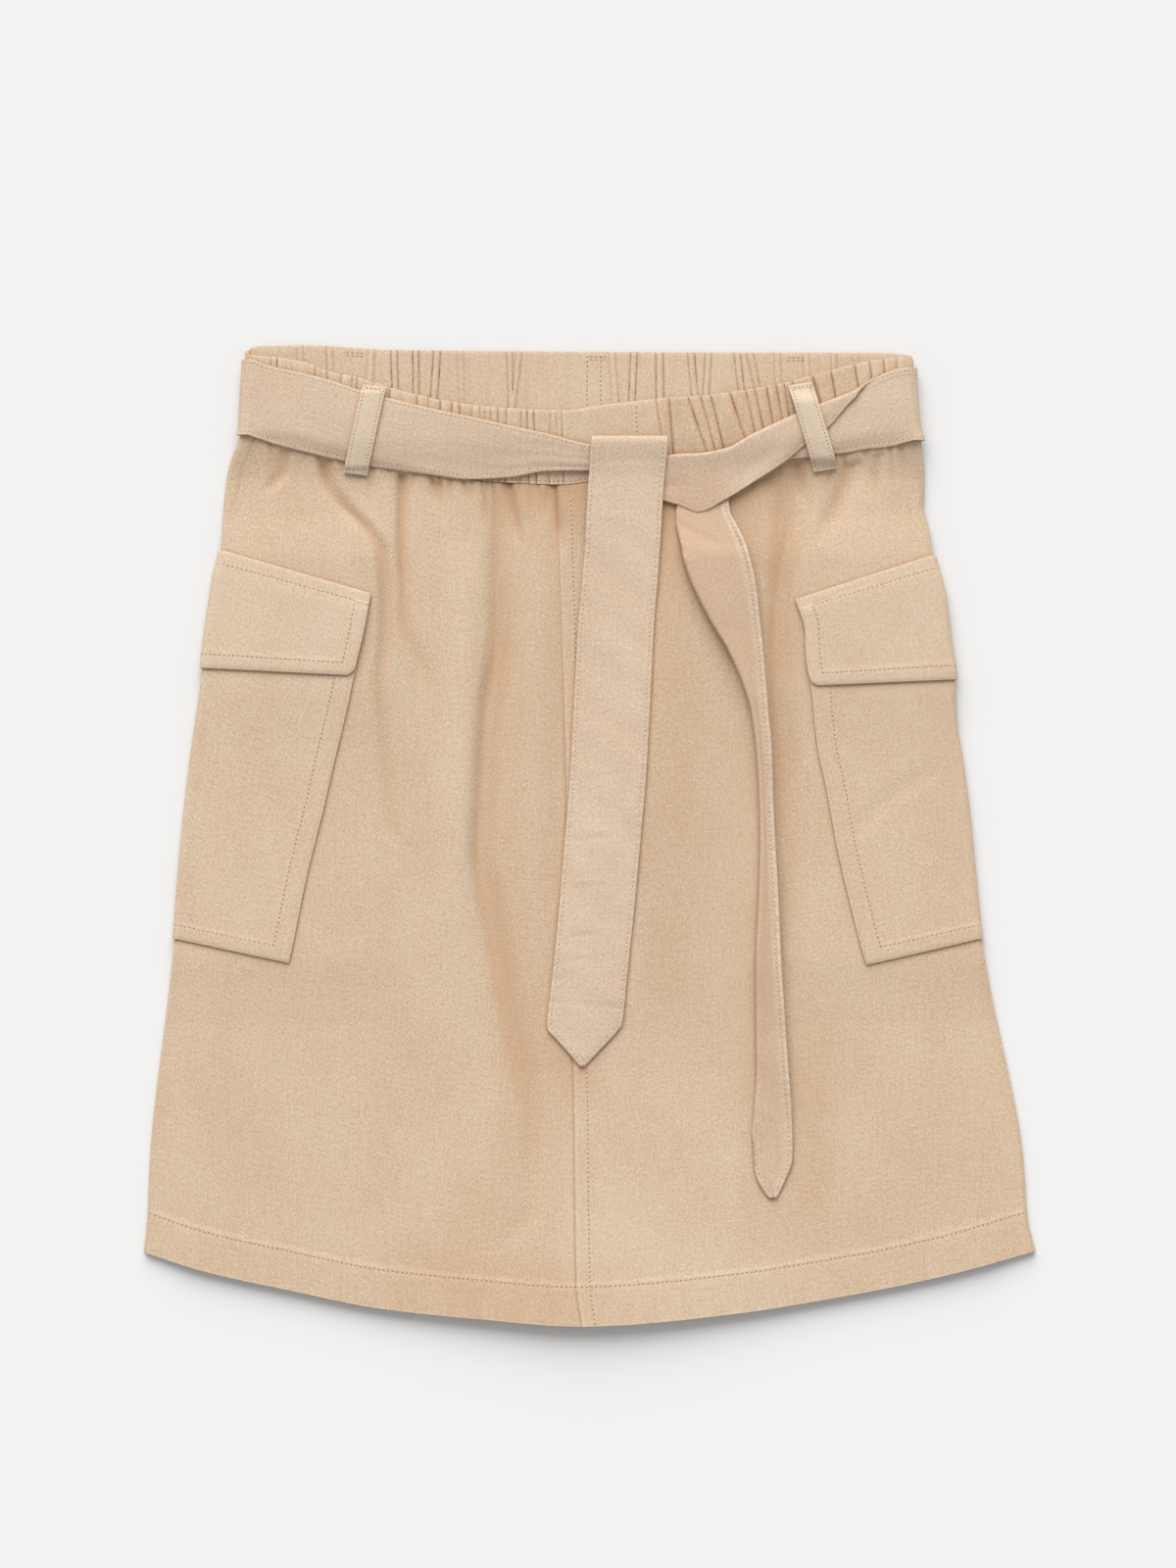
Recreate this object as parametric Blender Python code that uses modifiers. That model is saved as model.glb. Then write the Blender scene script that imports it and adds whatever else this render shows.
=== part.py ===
"""A cargo utility skirt in cotton twill, laid flat on its back.

Two front and two back panels hang from a gathered elastic casing. A cargo pocket with a flap sits
over each side seam, and a tie belt runs through five loops and is tied in front.
X runs across the skirt, Y from hem to waist and Z up from the surface that it lies on.
"""
import bpy
import bmesh
import numpy as np
from math import cos, pi, sin

for item in list(bpy.data.objects):
    bpy.data.objects.remove(item, do_unlink=True)

skirt = bpy.data.collections.new("cargo_utility_skirt")
bpy.context.scene.collection.children.link(skirt)

# ---- Driving sizes, in millimetres -------------------------------------------------------------
MM = 0.001
CLOTH = 1.2            # wall of a twill panel with its seam allowances
CASING = 1.8           # wall of the waistband: two layers of twill round the elastic
BELT = 1.5             # wall of the tie belt, sewn double
CASING_HEIGHT = 37.5   # top of the waistband to the waist seam
SEAM = 0.3             # clear width of a seam between two panels
REST_GAP = 0.3         # clear height between a belt or loop and what it lies on
POCKET_STEP = 1.7      # one layer of pocket cloth and the space below it
INSIDE = 0.9           # clear height between the back and a flat stretch of the front
FOLD_LIMIT = 2.9       # most that a fold lifts the front above that
BELT_FOLD = 2.1        # middle of one belt layer to the middle of the layer folded over it
LOOP_WIDTH = 12.0
CENTRE_BACK = 3.0      # x of the centre back seam

# ---- Smooth curves and thin walls --------------------------------------------------------------


class Curve:
    """A smooth line through (place, value) points that never overshoots them."""

    def __init__(self, points):
        ordered = sorted(points)
        self.at = np.array([p[0] for p in ordered], float)
        self.value = np.array([p[1] for p in ordered], float)
        slope = np.diff(self.value) / np.diff(self.at)
        same_way = slope[:-1] * slope[1:] > 0.0
        total = np.where(same_way, slope[:-1] + slope[1:], 1.0)
        inner = np.where(same_way, 2.0 * slope[:-1] * slope[1:] / total, 0.0)
        self.slope = np.concatenate(([slope[0]], inner, [slope[-1]]))

    def __call__(self, place):
        if place <= self.at[0]:
            return float(self.value[0])
        if place >= self.at[-1]:
            return float(self.value[-1])
        i = int(np.searchsorted(self.at, place, side="right")) - 1
        step = self.at[i + 1] - self.at[i]
        t = (place - self.at[i]) / step
        rise = self.value[i + 1] - self.value[i]
        start = self.slope[i] * step
        end = self.slope[i + 1] * step
        return float(self.value[i] + t * (start + t * (3 * rise - 2 * start - end + t * (start + end - 2 * rise))))


def columns_of(table, *places):
    """One Curve for each asked column of a table, against its first column."""
    return [Curve([(row[0], row[at]) for row in table]) for at in places]


def blend(start, end, t):
    return start + (end - start) * t


def spread(start, end, count):
    """Evenly spaced places from start to end, both included."""
    return [blend(start, end, i / (count - 1)) for i in range(count)]


def twill(name, colour, roughness):
    material = bpy.data.materials.new(name)
    material.use_nodes = True
    shader = material.node_tree.nodes["Principled BSDF"]
    shader.inputs["Base Color"].default_value = (*colour, 1.0)
    shader.inputs["Roughness"].default_value = roughness
    shader.inputs["Metallic"].default_value = 0.0
    return material


def cloth_piece(name, rows, thickness, material):
    """A closed cloth wall round a grid of middle-surface points: rows of (x, y, z) in millimetres."""
    down, across = len(rows), len(rows[0])
    shape = bmesh.new()
    bmesh.ops.create_grid(shape, x_segments=across - 1, y_segments=down - 1, size=1.0)
    for vertex in shape.verts:
        column = round((vertex.co.x + 1.0) / 2.0 * (across - 1))
        row = round((1.0 - vertex.co.y) / 2.0 * (down - 1))
        vertex.co = [value * MM for value in rows[row][column]]
    mesh = bpy.data.meshes.new(name)
    shape.to_mesh(mesh)
    shape.free()
    mesh.materials.append(material)
    mesh.shade_smooth()
    piece = bpy.data.objects.new(name, mesh)
    skirt.objects.link(piece)
    wall = piece.modifiers.new("wall", "SOLIDIFY")
    wall.thickness = thickness * MM
    wall.offset = 0.0
    return piece


skirt_twill = twill("skirt_twill", (0.68, 0.50, 0.34), 0.85)
belt_twill = twill("belt_twill", (0.72, 0.55, 0.40), 0.82)

# ---- Outline of the skirt as it lies ------------------------------------------------------------
# Side folds of the panels and the casing, at the middle of their wall: y, left x, right x.
SIDES = (
    (247.0, -174.0, 161.5), (242.0, -174.6, 163.4), (228.0, -175.8, 164.6), (207.0, -176.9, 167.0),
    (203.0, -177.8, 168.4), (198.0, -180.2, 169.2), (186.0, -184.4, 170.6), (175.0, -185.8, 170.6),
    (168.0, -186.5, 170.0), (160.0, -187.0, 172.2), (145.0, -187.8, 174.7), (133.0, -189.5, 176.6),
    (121.0, -191.2, 179.4), (100.0, -194.3, 181.9), (82.0, -196.3, 184.6), (55.0, -200.3, 186.4),
    (41.0, -202.3, 188.8), (13.0, -205.7, 192.6), (-22.0, -209.0, 196.1), (-46.0, -210.8, 198.6),
    (-74.0, -213.9, 203.6), (-164.0, -224.2, 221.1), (-195.0, -225.6, 223.4), (-212.0, -227.4, 227.4),
)
side_left, side_right = columns_of(SIDES, 1, 2)

# Top edge of the casing, front and back: x, y.
TOP_FRONT = (
    (-176.0, 245.4), (-159.0, 243.4), (-145.0, 240.8), (-133.0, 236.4), (-121.0, 233.9), (-101.0, 227.9),
    (-86.0, 223.9), (-68.0, 220.4), (-42.0, 217.6), (-14.0, 216.6), (9.0, 219.7), (34.0, 222.4),
    (61.0, 224.4), (83.0, 227.4), (101.0, 230.9), (122.0, 236.4), (143.0, 241.6), (165.0, 244.4),
)
TOP_BACK = (
    (-175.0, 246.4), (-168.0, 249.9), (-145.0, 250.3), (-101.0, 247.9), (69.0, 246.6), (150.0, 246.4),
    (163.0, 245.2),
)
# Waist seam of the back and hem edges: x, y.
WAIST_BACK = ((-177.0, 207.9), (-150.0, 211.0), (-100.0, 210.4), (0.0, 209.6), (100.0, 209.0), (167.0, 206.9))
HEM_FRONT = (
    (-227.4, -213.2), (-195.0, -223.2), (-154.0, -232.2), (-106.0, -241.7), (-57.0, -246.7), (-5.0, -250.4),
    (12.0, -249.9), (72.0, -244.4), (128.0, -235.7), (178.0, -225.7), (227.4, -212.6),
)
HEM_BACK = ((-227.4, -213.0), (-150.0, -222.0), (0.0, -232.0), (150.0, -221.5), (227.4, -212.4))
top_front, top_back = Curve(TOP_FRONT), Curve(TOP_BACK)
waist_back, hem_front, hem_back = Curve(WAIST_BACK), Curve(HEM_FRONT), Curve(HEM_BACK)
# Centre front seam, from waist to hem: y, x.
centre_front = Curve(((180.0, -17.0), (156.0, -16.0), (-124.0, -8.3), (-229.0, -6.8), (-250.0, -4.0)))

# ---- Heights: how the layers stack from the surface up ------------------------------------------
# Middle of the back panels' wall: y, height over the belt, which lies below the waist seam.
BACK_OVER_BELT = ((203.0, 4.0), (196.0, 2.6), (189.0, 1.1), (184.0, 0.6))
# The same over a pocket, where the bag and the flap lie below the back panel: y, height.
BACK_OVER_POCKET = (
    (165.0, 0.6), (152.0, 2.3), (140.0, 4.0), (76.0, 4.0), (62.0, 2.3), (-60.0, 2.3), (-75.0, 0.6),
)
# Top of the back as the front meets it: y, height, then the extra over a pocket: y, lift.
BACK_TOP = ((216.0, 5.6), (203.0, 4.9), (196.0, 3.8), (189.0, 2.3), (182.0, 1.4), (176.0, 1.2))
POCKET_LIFT = (
    (182.0, 0.0), (165.0, 0.8), (152.0, 2.4), (140.0, 3.4), (76.0, 3.4), (60.0, 2.7), (40.0, 1.9),
    (20.0, 1.7), (-60.0, 1.7), (-80.0, 0.7), (-96.0, 0.0),
)
# Inner edge of each bag on the back of the skirt, and the reach of the lift beside it.
BAG_BACK_EDGE = {"left": -123.0, "right": 109.0}
LIFT_FULL, LIFT_END = 4.5, 19.0            # measured from that edge towards the centre, on the back
LIFT_FULL_FRONT, LIFT_END_FRONT = 14.0, 36.0
back_over_belt, back_over_pocket = Curve(BACK_OVER_BELT), Curve(BACK_OVER_POCKET)
back_top, pocket_lift = Curve(BACK_TOP), Curve(POCKET_LIFT)


def beside_pocket(x, full, end):
    """1 over a pocket, 0 between the pockets, with a ramp from full to end beside each bag."""
    from_left = (x - BAG_BACK_EDGE["left"] - full) / (end - full)
    from_right = (BAG_BACK_EDGE["right"] - x - full) / (end - full)
    return 1.0 - min(1.0, max(0.0, min(from_left, from_right)))


def back_height(x, y):
    over_pocket = blend(0.6, back_over_pocket(y), beside_pocket(x, LIFT_FULL, LIFT_END))
    return max(over_pocket, back_over_belt(y))


def under_front(x, y):
    """Height that the front lies on."""
    return back_top(y) + pocket_lift(y) * beside_pocket(x, LIFT_FULL_FRONT, LIFT_END_FRONT)


# Folds of the front as it lies: half width to the left and right, then y, x, depth down the fold.
FOLDS = {
    "below_belt_side": (6, 6, ((197, -155, -0.8), (185, -157, -0.8), (173, -168, 0.0))),
    "flap_corner": (6, 7, ((194, -135, -1.0), (181, -133, -1.2), (169, -126, -1.3), (156, -113, -1.5),
                           (144, -106, -1.6), (126, -104, -1.5), (96, -105, -1.3), (76, -107, -1.0),
                           (51, -105, -0.7), (6, -101, -0.4), (-16, -86, 0.0))),
    "beside_flap_corner": (6, 7, ((185, -96, -1.3), (156, -96, -1.3), (131, -95, -1.2), (106, -94, -0.9),
                                  (90, -88, -0.6), (70, -80, 0.0))),
    "waist_left": (5, 5, ((181, -78, -0.8), (166, -76, 0.0))),
    "long_left": (8, 13, ((166, -49, -0.2), (156, -48, -0.8), (116, -48, -1.2), (98, -48, -1.5),
                          (66, -52, -1.8), (19, -55, -1.8), (-9, -56, -1.7), (-36, -52, -1.5),
                          (-76, -45, -1.2), (-111, -38, -1.0), (-154, -30, -0.8), (-185, -30, -0.5),
                          (-215, -46, 0.0))),
    "long_left_crest": (16, 12, ((150, -66, 0.0), (120, -64, 1.0), (40, -66, 1.3), (-30, -68, 0.9),
                                 (-90, -60, 0.4), (-130, -55, 0.0))),
    "middle_crest": (14, 14, ((150, -26, 0.3), (100, -27, 0.9), (0, -28, 0.9), (-90, -24, 0.3), (-120, -20, 0.0))),
    "waist_middle": (6, 5, ((183, -42, -0.9), (161, -38, -0.8), (146, -35, 0.0))),
    "waist_seam_side": (5, 5, ((183, -19, -0.9), (159, -15, -0.8), (142, -14, 0.0))),
    "waist_right": (5, 6, ((191, 106, -0.8), (184, 107, -0.9), (168, 109, 0.0))),
    "beside_tail": (6, 9, ((176, 99, -0.8), (157, 98, -1.3), (122, 95, -1.3), (79, 93, -0.8), (30, 95, 0.0))),
    "loop_right": (8, 9, ((191, 134, -1.1), (179, 130, -1.1), (164, 124, -0.9), (148, 117, 0.0))),
    "waist_side_right": (5, 5, ((195, 147, -0.8), (186, 146, -0.8), (170, 145, 0.0))),
    "between_tails": (26, 20, ((150, 50, 0.0), (90, 58, 0.8), (0, 62, 0.8), (-70, 62, 0.3), (-110, 60, 0.0))),
    "bag_right": (14, 12, ((38, 182, 0.0), (24, 160, -0.5), (8, 142, -0.4), (-4, 134, 0.0))),
    "bag_left": (16, 14, ((60, -180, 0.0), (30, -168, -0.5), (0, -158, -0.4), (-30, -152, 0.0))),
    "hem_rise": (150, 150, ((-150, 0, 0.0), (-210, 0, 0.7), (-250, 0, 1.2))),
}
fold_lines = [(left, right, Curve([(y, x) for y, x, _ in line]), Curve([(y, depth) for y, _, depth in line]),
               min(row[0] for row in line), max(row[0] for row in line))
              for left, right, line in FOLDS.values()]
# Loft of the front between its folds, near the waist seam and lower down: y, at the sides, between.
LOFT = ((200.0, 0.9, 0.9), (180.0, 0.0, 1.2), (100.0, 0.0, 1.3), (-212.0, 0.0, 1.2))
loft_at_side, loft_between = columns_of(LOFT, 1, 2)


def fold_rise(x, y):
    """How far loft and folds lift the front above its flat height."""
    inset = min(x - side_left(y), side_right(y) - x)
    inward = 0.5 - 0.5 * cos(pi * min(1.0, max(0.0, inset / 28.0)))
    rise = blend(loft_at_side(y), loft_between(y), inward)
    for left, right, line, depth, low, high in fold_lines:
        if low <= y <= high:
            off = x - line(y)
            reach = left if off < 0.0 else right
            if abs(off) < reach:
                rise += depth(y) * (0.5 + 0.5 * cos(pi * off / reach))
    return min(FOLD_LIMIT, max(0.0, rise))


def front_height(x, y):
    return under_front(x, y) + INSIDE + CLOTH / 2 + fold_rise(x, y)


def over_front(x, y):
    """Top of the waist as the belt meets it, over the crests of the gathers."""
    return under_front(x, y) + 4.4


def top_of_folds(x, y, reach=4.0):
    """Top of the front panels within reach of a place, as a stiff strip lies on them."""
    around = [front_height(x + reach * cos(a), y + reach * sin(a)) for a in np.arange(8) * pi / 4]
    return max(around + [front_height(x, y)]) + CLOTH / 2


def wrapped(side, y, back, front, back_z, front_z, fold_x, arc=5):
    """Section round a side fold: places on the back, the arc of the fold, places on the front.

    back and front list distances from the fold's arc. The functions give heights and the fold's x.
    """
    outward = -1.0 if side == "left" else 1.0
    edge = fold_x(y)
    radius = (front_z(edge - outward, y) - back_z(edge - outward, y)) / 2
    centre = edge - outward * radius
    low, high = back_z(centre, y), front_z(centre, y)
    radius = (high - low) / 2
    section = [(centre - outward * d, y, back_z(centre - outward * d, y)) for d in back]
    for i in range(1, arc):
        turn = pi * i / arc
        section.append((centre + outward * radius * sin(turn), y, (low + high) / 2 - radius * cos(turn)))
    section += [(centre - outward * d, y, front_z(centre - outward * d, y)) for d in front]
    return section


# Rows of the panels, from waist to hem: their y at the side folds, so that both sides of a side
# seam turn at the same places.
LEVELS = (203, 196, 189, 184, 175, 165, 152, 140, 124, 108, 92, 76, 62, 46, 30, 12, -8, -30, -60, -75, -110,
          -148, -186)

# ---- Back panels ---------------------------------------------------------------------------------
# Each back panel lies on the surface, rounds its side fold and ends at the side seam in front.
# Side seam in front of the fold, from waist to hem: y, distance left, distance right.
SIDE_SEAM = ((205.0, 6.5, 1.0), (182.0, 6.0, 1.0), (168.0, 3.5, 1.0), (155.0, 1.0, 1.0), (-212.0, 0.8, 0.8))
seam_left, seam_right = columns_of(SIDE_SEAM, 1, 2)
seam_at = {"left": seam_left, "right": seam_right}
fold_at = {"left": side_left, "right": side_right}


def front_waist(x):
    """Upper edge of the front panels, below the casing."""
    return top_front(x) - CASING_HEIGHT - SEAM


def back_panel(side):
    outward = -1.0 if side == "left" else 1.0
    rows = []
    for level in ("waist",) + LEVELS + ("hem",):
        flat_y = {"waist": waist_back(fold_at[side](207.0)) - SEAM, "hem": -212.8}.get(level, level)
        arc_x = fold_at[side](flat_y) - outward * 2.0
        ramp = [BAG_BACK_EDGE[side] - outward * LIFT_FULL, BAG_BACK_EDGE[side] - outward * LIFT_END]
        stops = [arc_x, blend(arc_x, ramp[0], 0.35), blend(arc_x, ramp[0], 0.7), ramp[0], ramp[1],
                 blend(ramp[1], CENTRE_BACK, 0.5), CENTRE_BACK + outward * SEAM / 2]
        section = wrapped(side, flat_y, [abs(arc_x - x) for x in reversed(stops)],
                          [0.05, seam_at[side](flat_y)], back_height, front_height, fold_at[side])
        if level == "waist":
            section = [(x, waist_back(x) - SEAM, z) if i < len(stops) else (x, min(y, front_waist(x)), z)
                       for i, (x, y, z) in enumerate(section)]
        if level == "hem":
            section = [(x, hem_back(x), z) if i < len(stops) else (x, y, z)
                       for i, (x, y, z) in enumerate(section)]
        rows.append(section)
    return cloth_piece("back_" + side, rows, CLOTH, skirt_twill)


back_panel("left")
back_panel("right")

# ---- Front panels --------------------------------------------------------------------------------
# Each front panel runs from its side seam to the centre front seam, and from waist seam to hem.
FRONT_COLUMNS = 28


def front_place(side, t, y):
    """x at a share t of the way from the side seam to the centre front seam."""
    outward = -1.0 if side == "left" else 1.0
    fold_x = fold_at[side](y)
    radius = (front_height(fold_x - outward, y) - back_height(fold_x - outward, y)) / 2
    start = fold_x - outward * (radius + seam_at[side](y) + SEAM)
    return blend(start, centre_front(y) + outward * SEAM / 2, t)


def front_panel(side):
    side_waist = front_waist(fold_at[side](206.0))
    side_hem = hem_front(fold_at[side](-212.0))
    shares = [0.0] + [(side_waist - y) / (side_waist - side_hem) for y in LEVELS] + [1.0]
    columns = []
    for t in spread(0.0, 1.0, FRONT_COLUMNS):
        waist_y, hem_y = side_waist, side_hem
        for _ in range(6):
            waist_y = front_waist(front_place(side, t, waist_y))
            hem_y = hem_front(front_place(side, t, hem_y))
        column = []
        for share in shares:
            y = blend(waist_y, hem_y, share)
            x = front_place(side, t, y)
            column.append((x, y, front_height(x, y)))
        columns.append(column)
    rows = [[column[i] for column in columns] for i in range(len(shares))]
    return cloth_piece("front_" + side, rows, CLOTH, skirt_twill)


front_panel("left")
front_panel("right")

# ---- Waistband -----------------------------------------------------------------------------------
# The casing is gathered by its elastic. Each table holds the x of its gather lines; between two
# lines the cloth rises in one wave. The stretch without lines is flat.
GATHERS_FRONT = (
    -162, -156, -149, -143, -136, -128, -121, -113, -106, -100, -94, -88, -83, -78, -71, -66, -61, -55,
    -49, -43, -37, -31, -25, -18, None, 36, 42, 52, 61, 66, 74, 80, 87, 93, 99, 106, 113, 120, 127, 134,
    142, 149, 157,
)
GATHERS_BACK = (
    -159, -151, -142, -131, None, -112, -106, -99, -89, -79, -71, -61, -51, -40, -31, -21, -11, None,
    13, 22, 36, 44, 54, 60, 69, 78, 86, 95, None, 112, 118, 125, 134, 143, 152,
)
BACK_LOOPS = {"left": -121.0, "centre": 3.2, "right": 104.2}
WAVE_SLOPE = 0.11      # a gather rises this share of its width each way
WAVE_LIMIT = 0.9
BACK_CASING_Z = 3.7    # middle of the back casing, over the belt
BACK_CASING_LIFT = 0.6  # and more over a back belt loop


def gather_columns(lines, start, end):
    """Columns (x, wave height) over the gathers: each line, and the crest between two lines."""
    columns = [(start, 0.0), (blend(start, lines[0], 0.6), 0.0)]
    for i, here in enumerate(lines[:-1]):
        after = lines[i + 1]
        if here is None:
            columns += [(blend(lines[i - 1], after, t), 0.0) for t in (0.2, 0.35, 0.5, 0.65, 0.8)]
        elif after is None:
            columns.append((here, -0.3))
        else:
            height = min(WAVE_LIMIT, WAVE_SLOPE * (after - here))
            columns += [(here, -height), (blend(here, after, 0.5), height)]
    return columns + [(lines[-1], -0.3), (blend(lines[-1], end, 0.4), 0.0), (end, 0.0)]


def casing_front_z(x, y):
    return under_front(x, y) + 0.5 + CASING / 2 + WAVE_LIMIT


def casing_arc(side, share, steps):
    """Half of the casing's round side fold, from the back (0) to the front (1)."""
    outward = -1.0 if side == "left" else 1.0
    y = 245.0 - CASING_HEIGHT * share
    edge = fold_at[side](y)
    high = casing_front_z(edge, y)
    radius = (high - BACK_CASING_Z) / 2
    points = []
    for step in steps:
        x = edge - outward * radius + outward * radius * sin(pi * step)
        points.append((x, blend(*casing_edges(x, share), step), BACK_CASING_Z + radius * (1 - cos(pi * step))))
    return points


def casing_edges(x, share):
    """y of the casing on the back and on the front, at a share of its height from the top."""
    return (blend(top_back(x), waist_back(x), share), top_front(x) - CASING_HEIGHT * share)


def waistband_back():
    rows = []
    inset = 2.6
    for share in (0.0, 0.2, 0.75, 1.0):
        y = 245.0 - CASING_HEIGHT * share
        row = []
        for x, wave in gather_columns(GATHERS_BACK, side_left(y) + inset, side_right(y) - inset):
            near_loop = min(abs(x - loop) for loop in BACK_LOOPS.values())
            over_loop = 0.5 + 0.5 * cos(pi * min(1.0, max(0.0, (near_loop - 8.0) / 6.0)))
            z = BACK_CASING_Z + BACK_CASING_LIFT * over_loop + wave * (1.0 - over_loop)
            row.append((x, casing_edges(x, share)[0], z))
        rows.append(casing_arc("left", share, (0.4, 0.27, 0.13)) + row + casing_arc("right", share, (0.13, 0.27, 0.4)))
    return cloth_piece("waistband_back", rows, CASING, skirt_twill)


def waistband_front():
    rows = []
    inset = 2.6
    for share in (0.0, 0.15, 0.8, 1.0):
        y = 245.0 - CASING_HEIGHT * share
        row = []
        for x, wave in gather_columns(GATHERS_FRONT, side_left(y) + inset, side_right(y) - inset):
            edge_y = casing_edges(x, share)[1]
            row.append((x, edge_y, casing_front_z(x, edge_y) + wave))
        rows.append(casing_arc("left", share, (0.6, 0.73, 0.87)) + row + casing_arc("right", share, (0.87, 0.73, 0.6)))
    return cloth_piece("waistband_front", rows, CASING, skirt_twill)


waistband_back()
waistband_front()

# ---- Cargo pockets -------------------------------------------------------------------------------
# A bag and its flap are each one piece round the side fold. Rows run down the piece: y at the fold,
# y at the inner edge in front, front width, height of its layer on the back.
# The bag's back edge is upright, and the flap reaches 3 mm past it.
BAG = {
    "left": ((128.0, 111.0, 74.8, 2.3), (108.0, 92.0, 75.6, 2.3), (92.0, 76.5, 74.2, 2.3), (76.0, 61.0, 72.7, 2.3),
             (66.0, 51.0, 71.8, 0.6), (46.0, 31.5, 70.1, 0.6), (30.0, 15.5, 68.6, 0.6), (12.0, -2.0, 66.3, 0.6),
             (-8.0, -21.5, 63.5, 0.6), (-30.0, -43.0, 60.9, 0.6), (-53.0, -65.0, 58.1, 0.6)),
    "right": ((128.0, 111.0, 66.3, 2.3), (108.0, 92.0, 69.1, 2.3), (92.0, 76.5, 70.6, 2.3), (76.0, 61.0, 70.8, 2.3),
              (66.0, 51.0, 70.2, 0.6), (46.0, 31.5, 68.9, 0.6), (30.0, 15.5, 68.2, 0.6), (12.0, -2.0, 67.4, 0.6),
              (-8.0, -21.5, 65.2, 0.6), (-30.0, -43.0, 62.0, 0.6), (-53.0, -66.0, 58.4, 0.6)),
}
FLAP = {
    "left": ((145.0, 123.5, 76.3, 0.6), (140.0, 119.5, 76.3, 0.6), (132.5, 113.5, 76.4, 0.6),
             (108.0, 98.0, 76.9, 0.6), (89.0, 85.0, 76.1, 0.6), (85.3, 81.8, 73.5, 0.6)),
    "right": ((142.5, 120.5, 70.4, 0.6), (138.0, 116.5, 69.6, 0.6), (131.5, 112.5, 69.2, 0.6),
              (106.0, 94.5, 71.2, 0.6), (84.0, 80.5, 72.5, 0.6), (79.5, 76.5, 69.7, 0.6)),
}
FLAP_STEP = (POCKET_STEP, POCKET_STEP + 0.2, 2 * POCKET_STEP, 2 * POCKET_STEP, 2 * POCKET_STEP, 2 * POCKET_STEP)


def pocket_piece(name, side, table, steps, past_bag):
    """A strip of cloth round the side fold, steps above the skirt on the front."""
    outward = -1.0 if side == "left" else 1.0
    rows = []
    for (fold_y, inner_y, width, back_z), step in zip(table, steps):
        layer = step if step > POCKET_STEP else POCKET_STEP
        edge = fold_at[side](fold_y) + outward * layer

        def low(x, y, height=back_z):
            return height

        def high(x, y, lift=layer):
            return front_height(x, y) + lift

        inner_back = BAG_BACK_EDGE[side] - outward * past_bag
        radius = (high(edge - 2 * outward, fold_y) - back_z) / 2
        back_width = abs(edge - outward * radius - inner_back)
        section = wrapped(side, fold_y, spread(back_width, 0.0, 3), [0.0], low, high, lambda y: edge)
        arc_x, arc_z = section[-1][0], section[-1][2]
        inner_x = fold_at[side](fold_y) - outward * width
        front = []
        for t in spread(0.0, 1.0, 8)[1:]:
            x = blend(arc_x, inner_x, t)
            y = blend(fold_y, inner_y, t)
            front.append((x, y, high(x, y)))
        rows.append(section[:-1] + [(arc_x, fold_y, arc_z)] + front)
    return cloth_piece(name, rows, CLOTH, skirt_twill)


for side in ("left", "right"):
    pocket_piece("pocket_" + side, side, BAG[side], [POCKET_STEP] * len(BAG[side]), 0.0)
    pocket_piece("flap_" + side, side, FLAP[side], FLAP_STEP, 3.0)

# ---- Tie belt ------------------------------------------------------------------------------------
# The belt lies behind the skirt, rounds both sides outside the casing and meets at the knot.
# Left stretch: x, top y, bottom y, height of the small pleats that bunch it into the knot.
BELT_LEFT = (
    (-166.0, 240.0, 201.5, 0.0), (-160.0, 238.4, 199.6, 0.0), (-142.0, 234.4, 195.1, 0.0),
    (-128.0, 230.4, 191.9, 0.0), (-112.0, 225.1, 188.6, 0.0), (-101.0, 222.4, 187.1, 0.0),
    (-81.0, 217.6, 184.4, 0.1), (-61.0, 213.4, 181.9, 0.3), (-41.0, 208.9, 182.9, 0.5),
    (-21.0, 204.6, 186.1, 0.6), (0.0, 199.4, 186.4, 0.6), (19.3, 197.4, 187.4, 0.4),
)
# Right stretch, whose upper part is folded down over itself: x, fold y, lower y, free edge y.
BELT_RIGHT = (
    (156.0, 237.9, 199.1, 237.9), (150.0, 234.4, 198.1, 234.4), (146.0, 232.4, 197.7, 231.0),
    (142.0, 230.4, 197.3, 227.9), (138.0, 228.5, 196.7, 224.6), (131.0, 225.1, 195.4, 219.1), (122.0, 221.6, 194.4, 208.6), (111.0, 217.4, 193.1, 200.4),
    (99.0, 212.1, 191.9, 190.4), (83.0, 204.6, 190.4, 179.9), (70.0, 197.6, 188.4, 171.9),
    (55.0, 194.9, 186.4, 164.9), (47.0, 194.6, 185.4, 168.1), (38.0, 193.6, 184.4, 170.9),
    (20.3, 191.4, 184.4, 178.4),
)
BELT_SIDE_TOP = {"left": 242.6, "right": 238.4}
BELT_SIDE_LOW = {"left": 204.1, "right": 201.4}
BELT_BACK_Z = BELT / 2
belt_over_casing = CASING / 2 + REST_GAP + BELT / 2
loops_lift = 1.5


def folded(flat, turned, counts):
    """Section of a strip whose edge is turned over, from the free edge of its flat layer.

    flat is the flat layer's width up to the fold's centre and turned the folded layer's width from
    the outside of the fold. Gives (distance from the fold's centre, height) along both layers.
    """
    radius = BELT_FOLD / 2
    fold_width = radius + BELT / 2
    share = min(1.0, turned / (2 * fold_width))
    arc = pi * radius * share
    upper = turned - fold_width if share == 1.0 else 0.0
    arc_room = max(arc, 0.25 * counts[1])
    upper_room = max(upper, 0.25 * counts[2])
    total = flat + arc + upper
    arc_start = total - arc_room - upper_room
    places = spread(0.0, arc_start, counts[0])
    places += spread(arc_start, arc_start + arc_room, counts[1] + 1)[1:]
    places += spread(total - upper_room, total, counts[2] + 1)[1:]
    section = []
    for place in places:
        if place <= flat:
            section.append((flat - place, 0.0))
        elif place <= flat + arc:
            turn = (place - flat) / radius
            section.append((-radius * sin(turn), radius * (1 - cos(turn))))
        else:
            section.append((place - flat - arc, BELT_FOLD))
    return section


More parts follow.
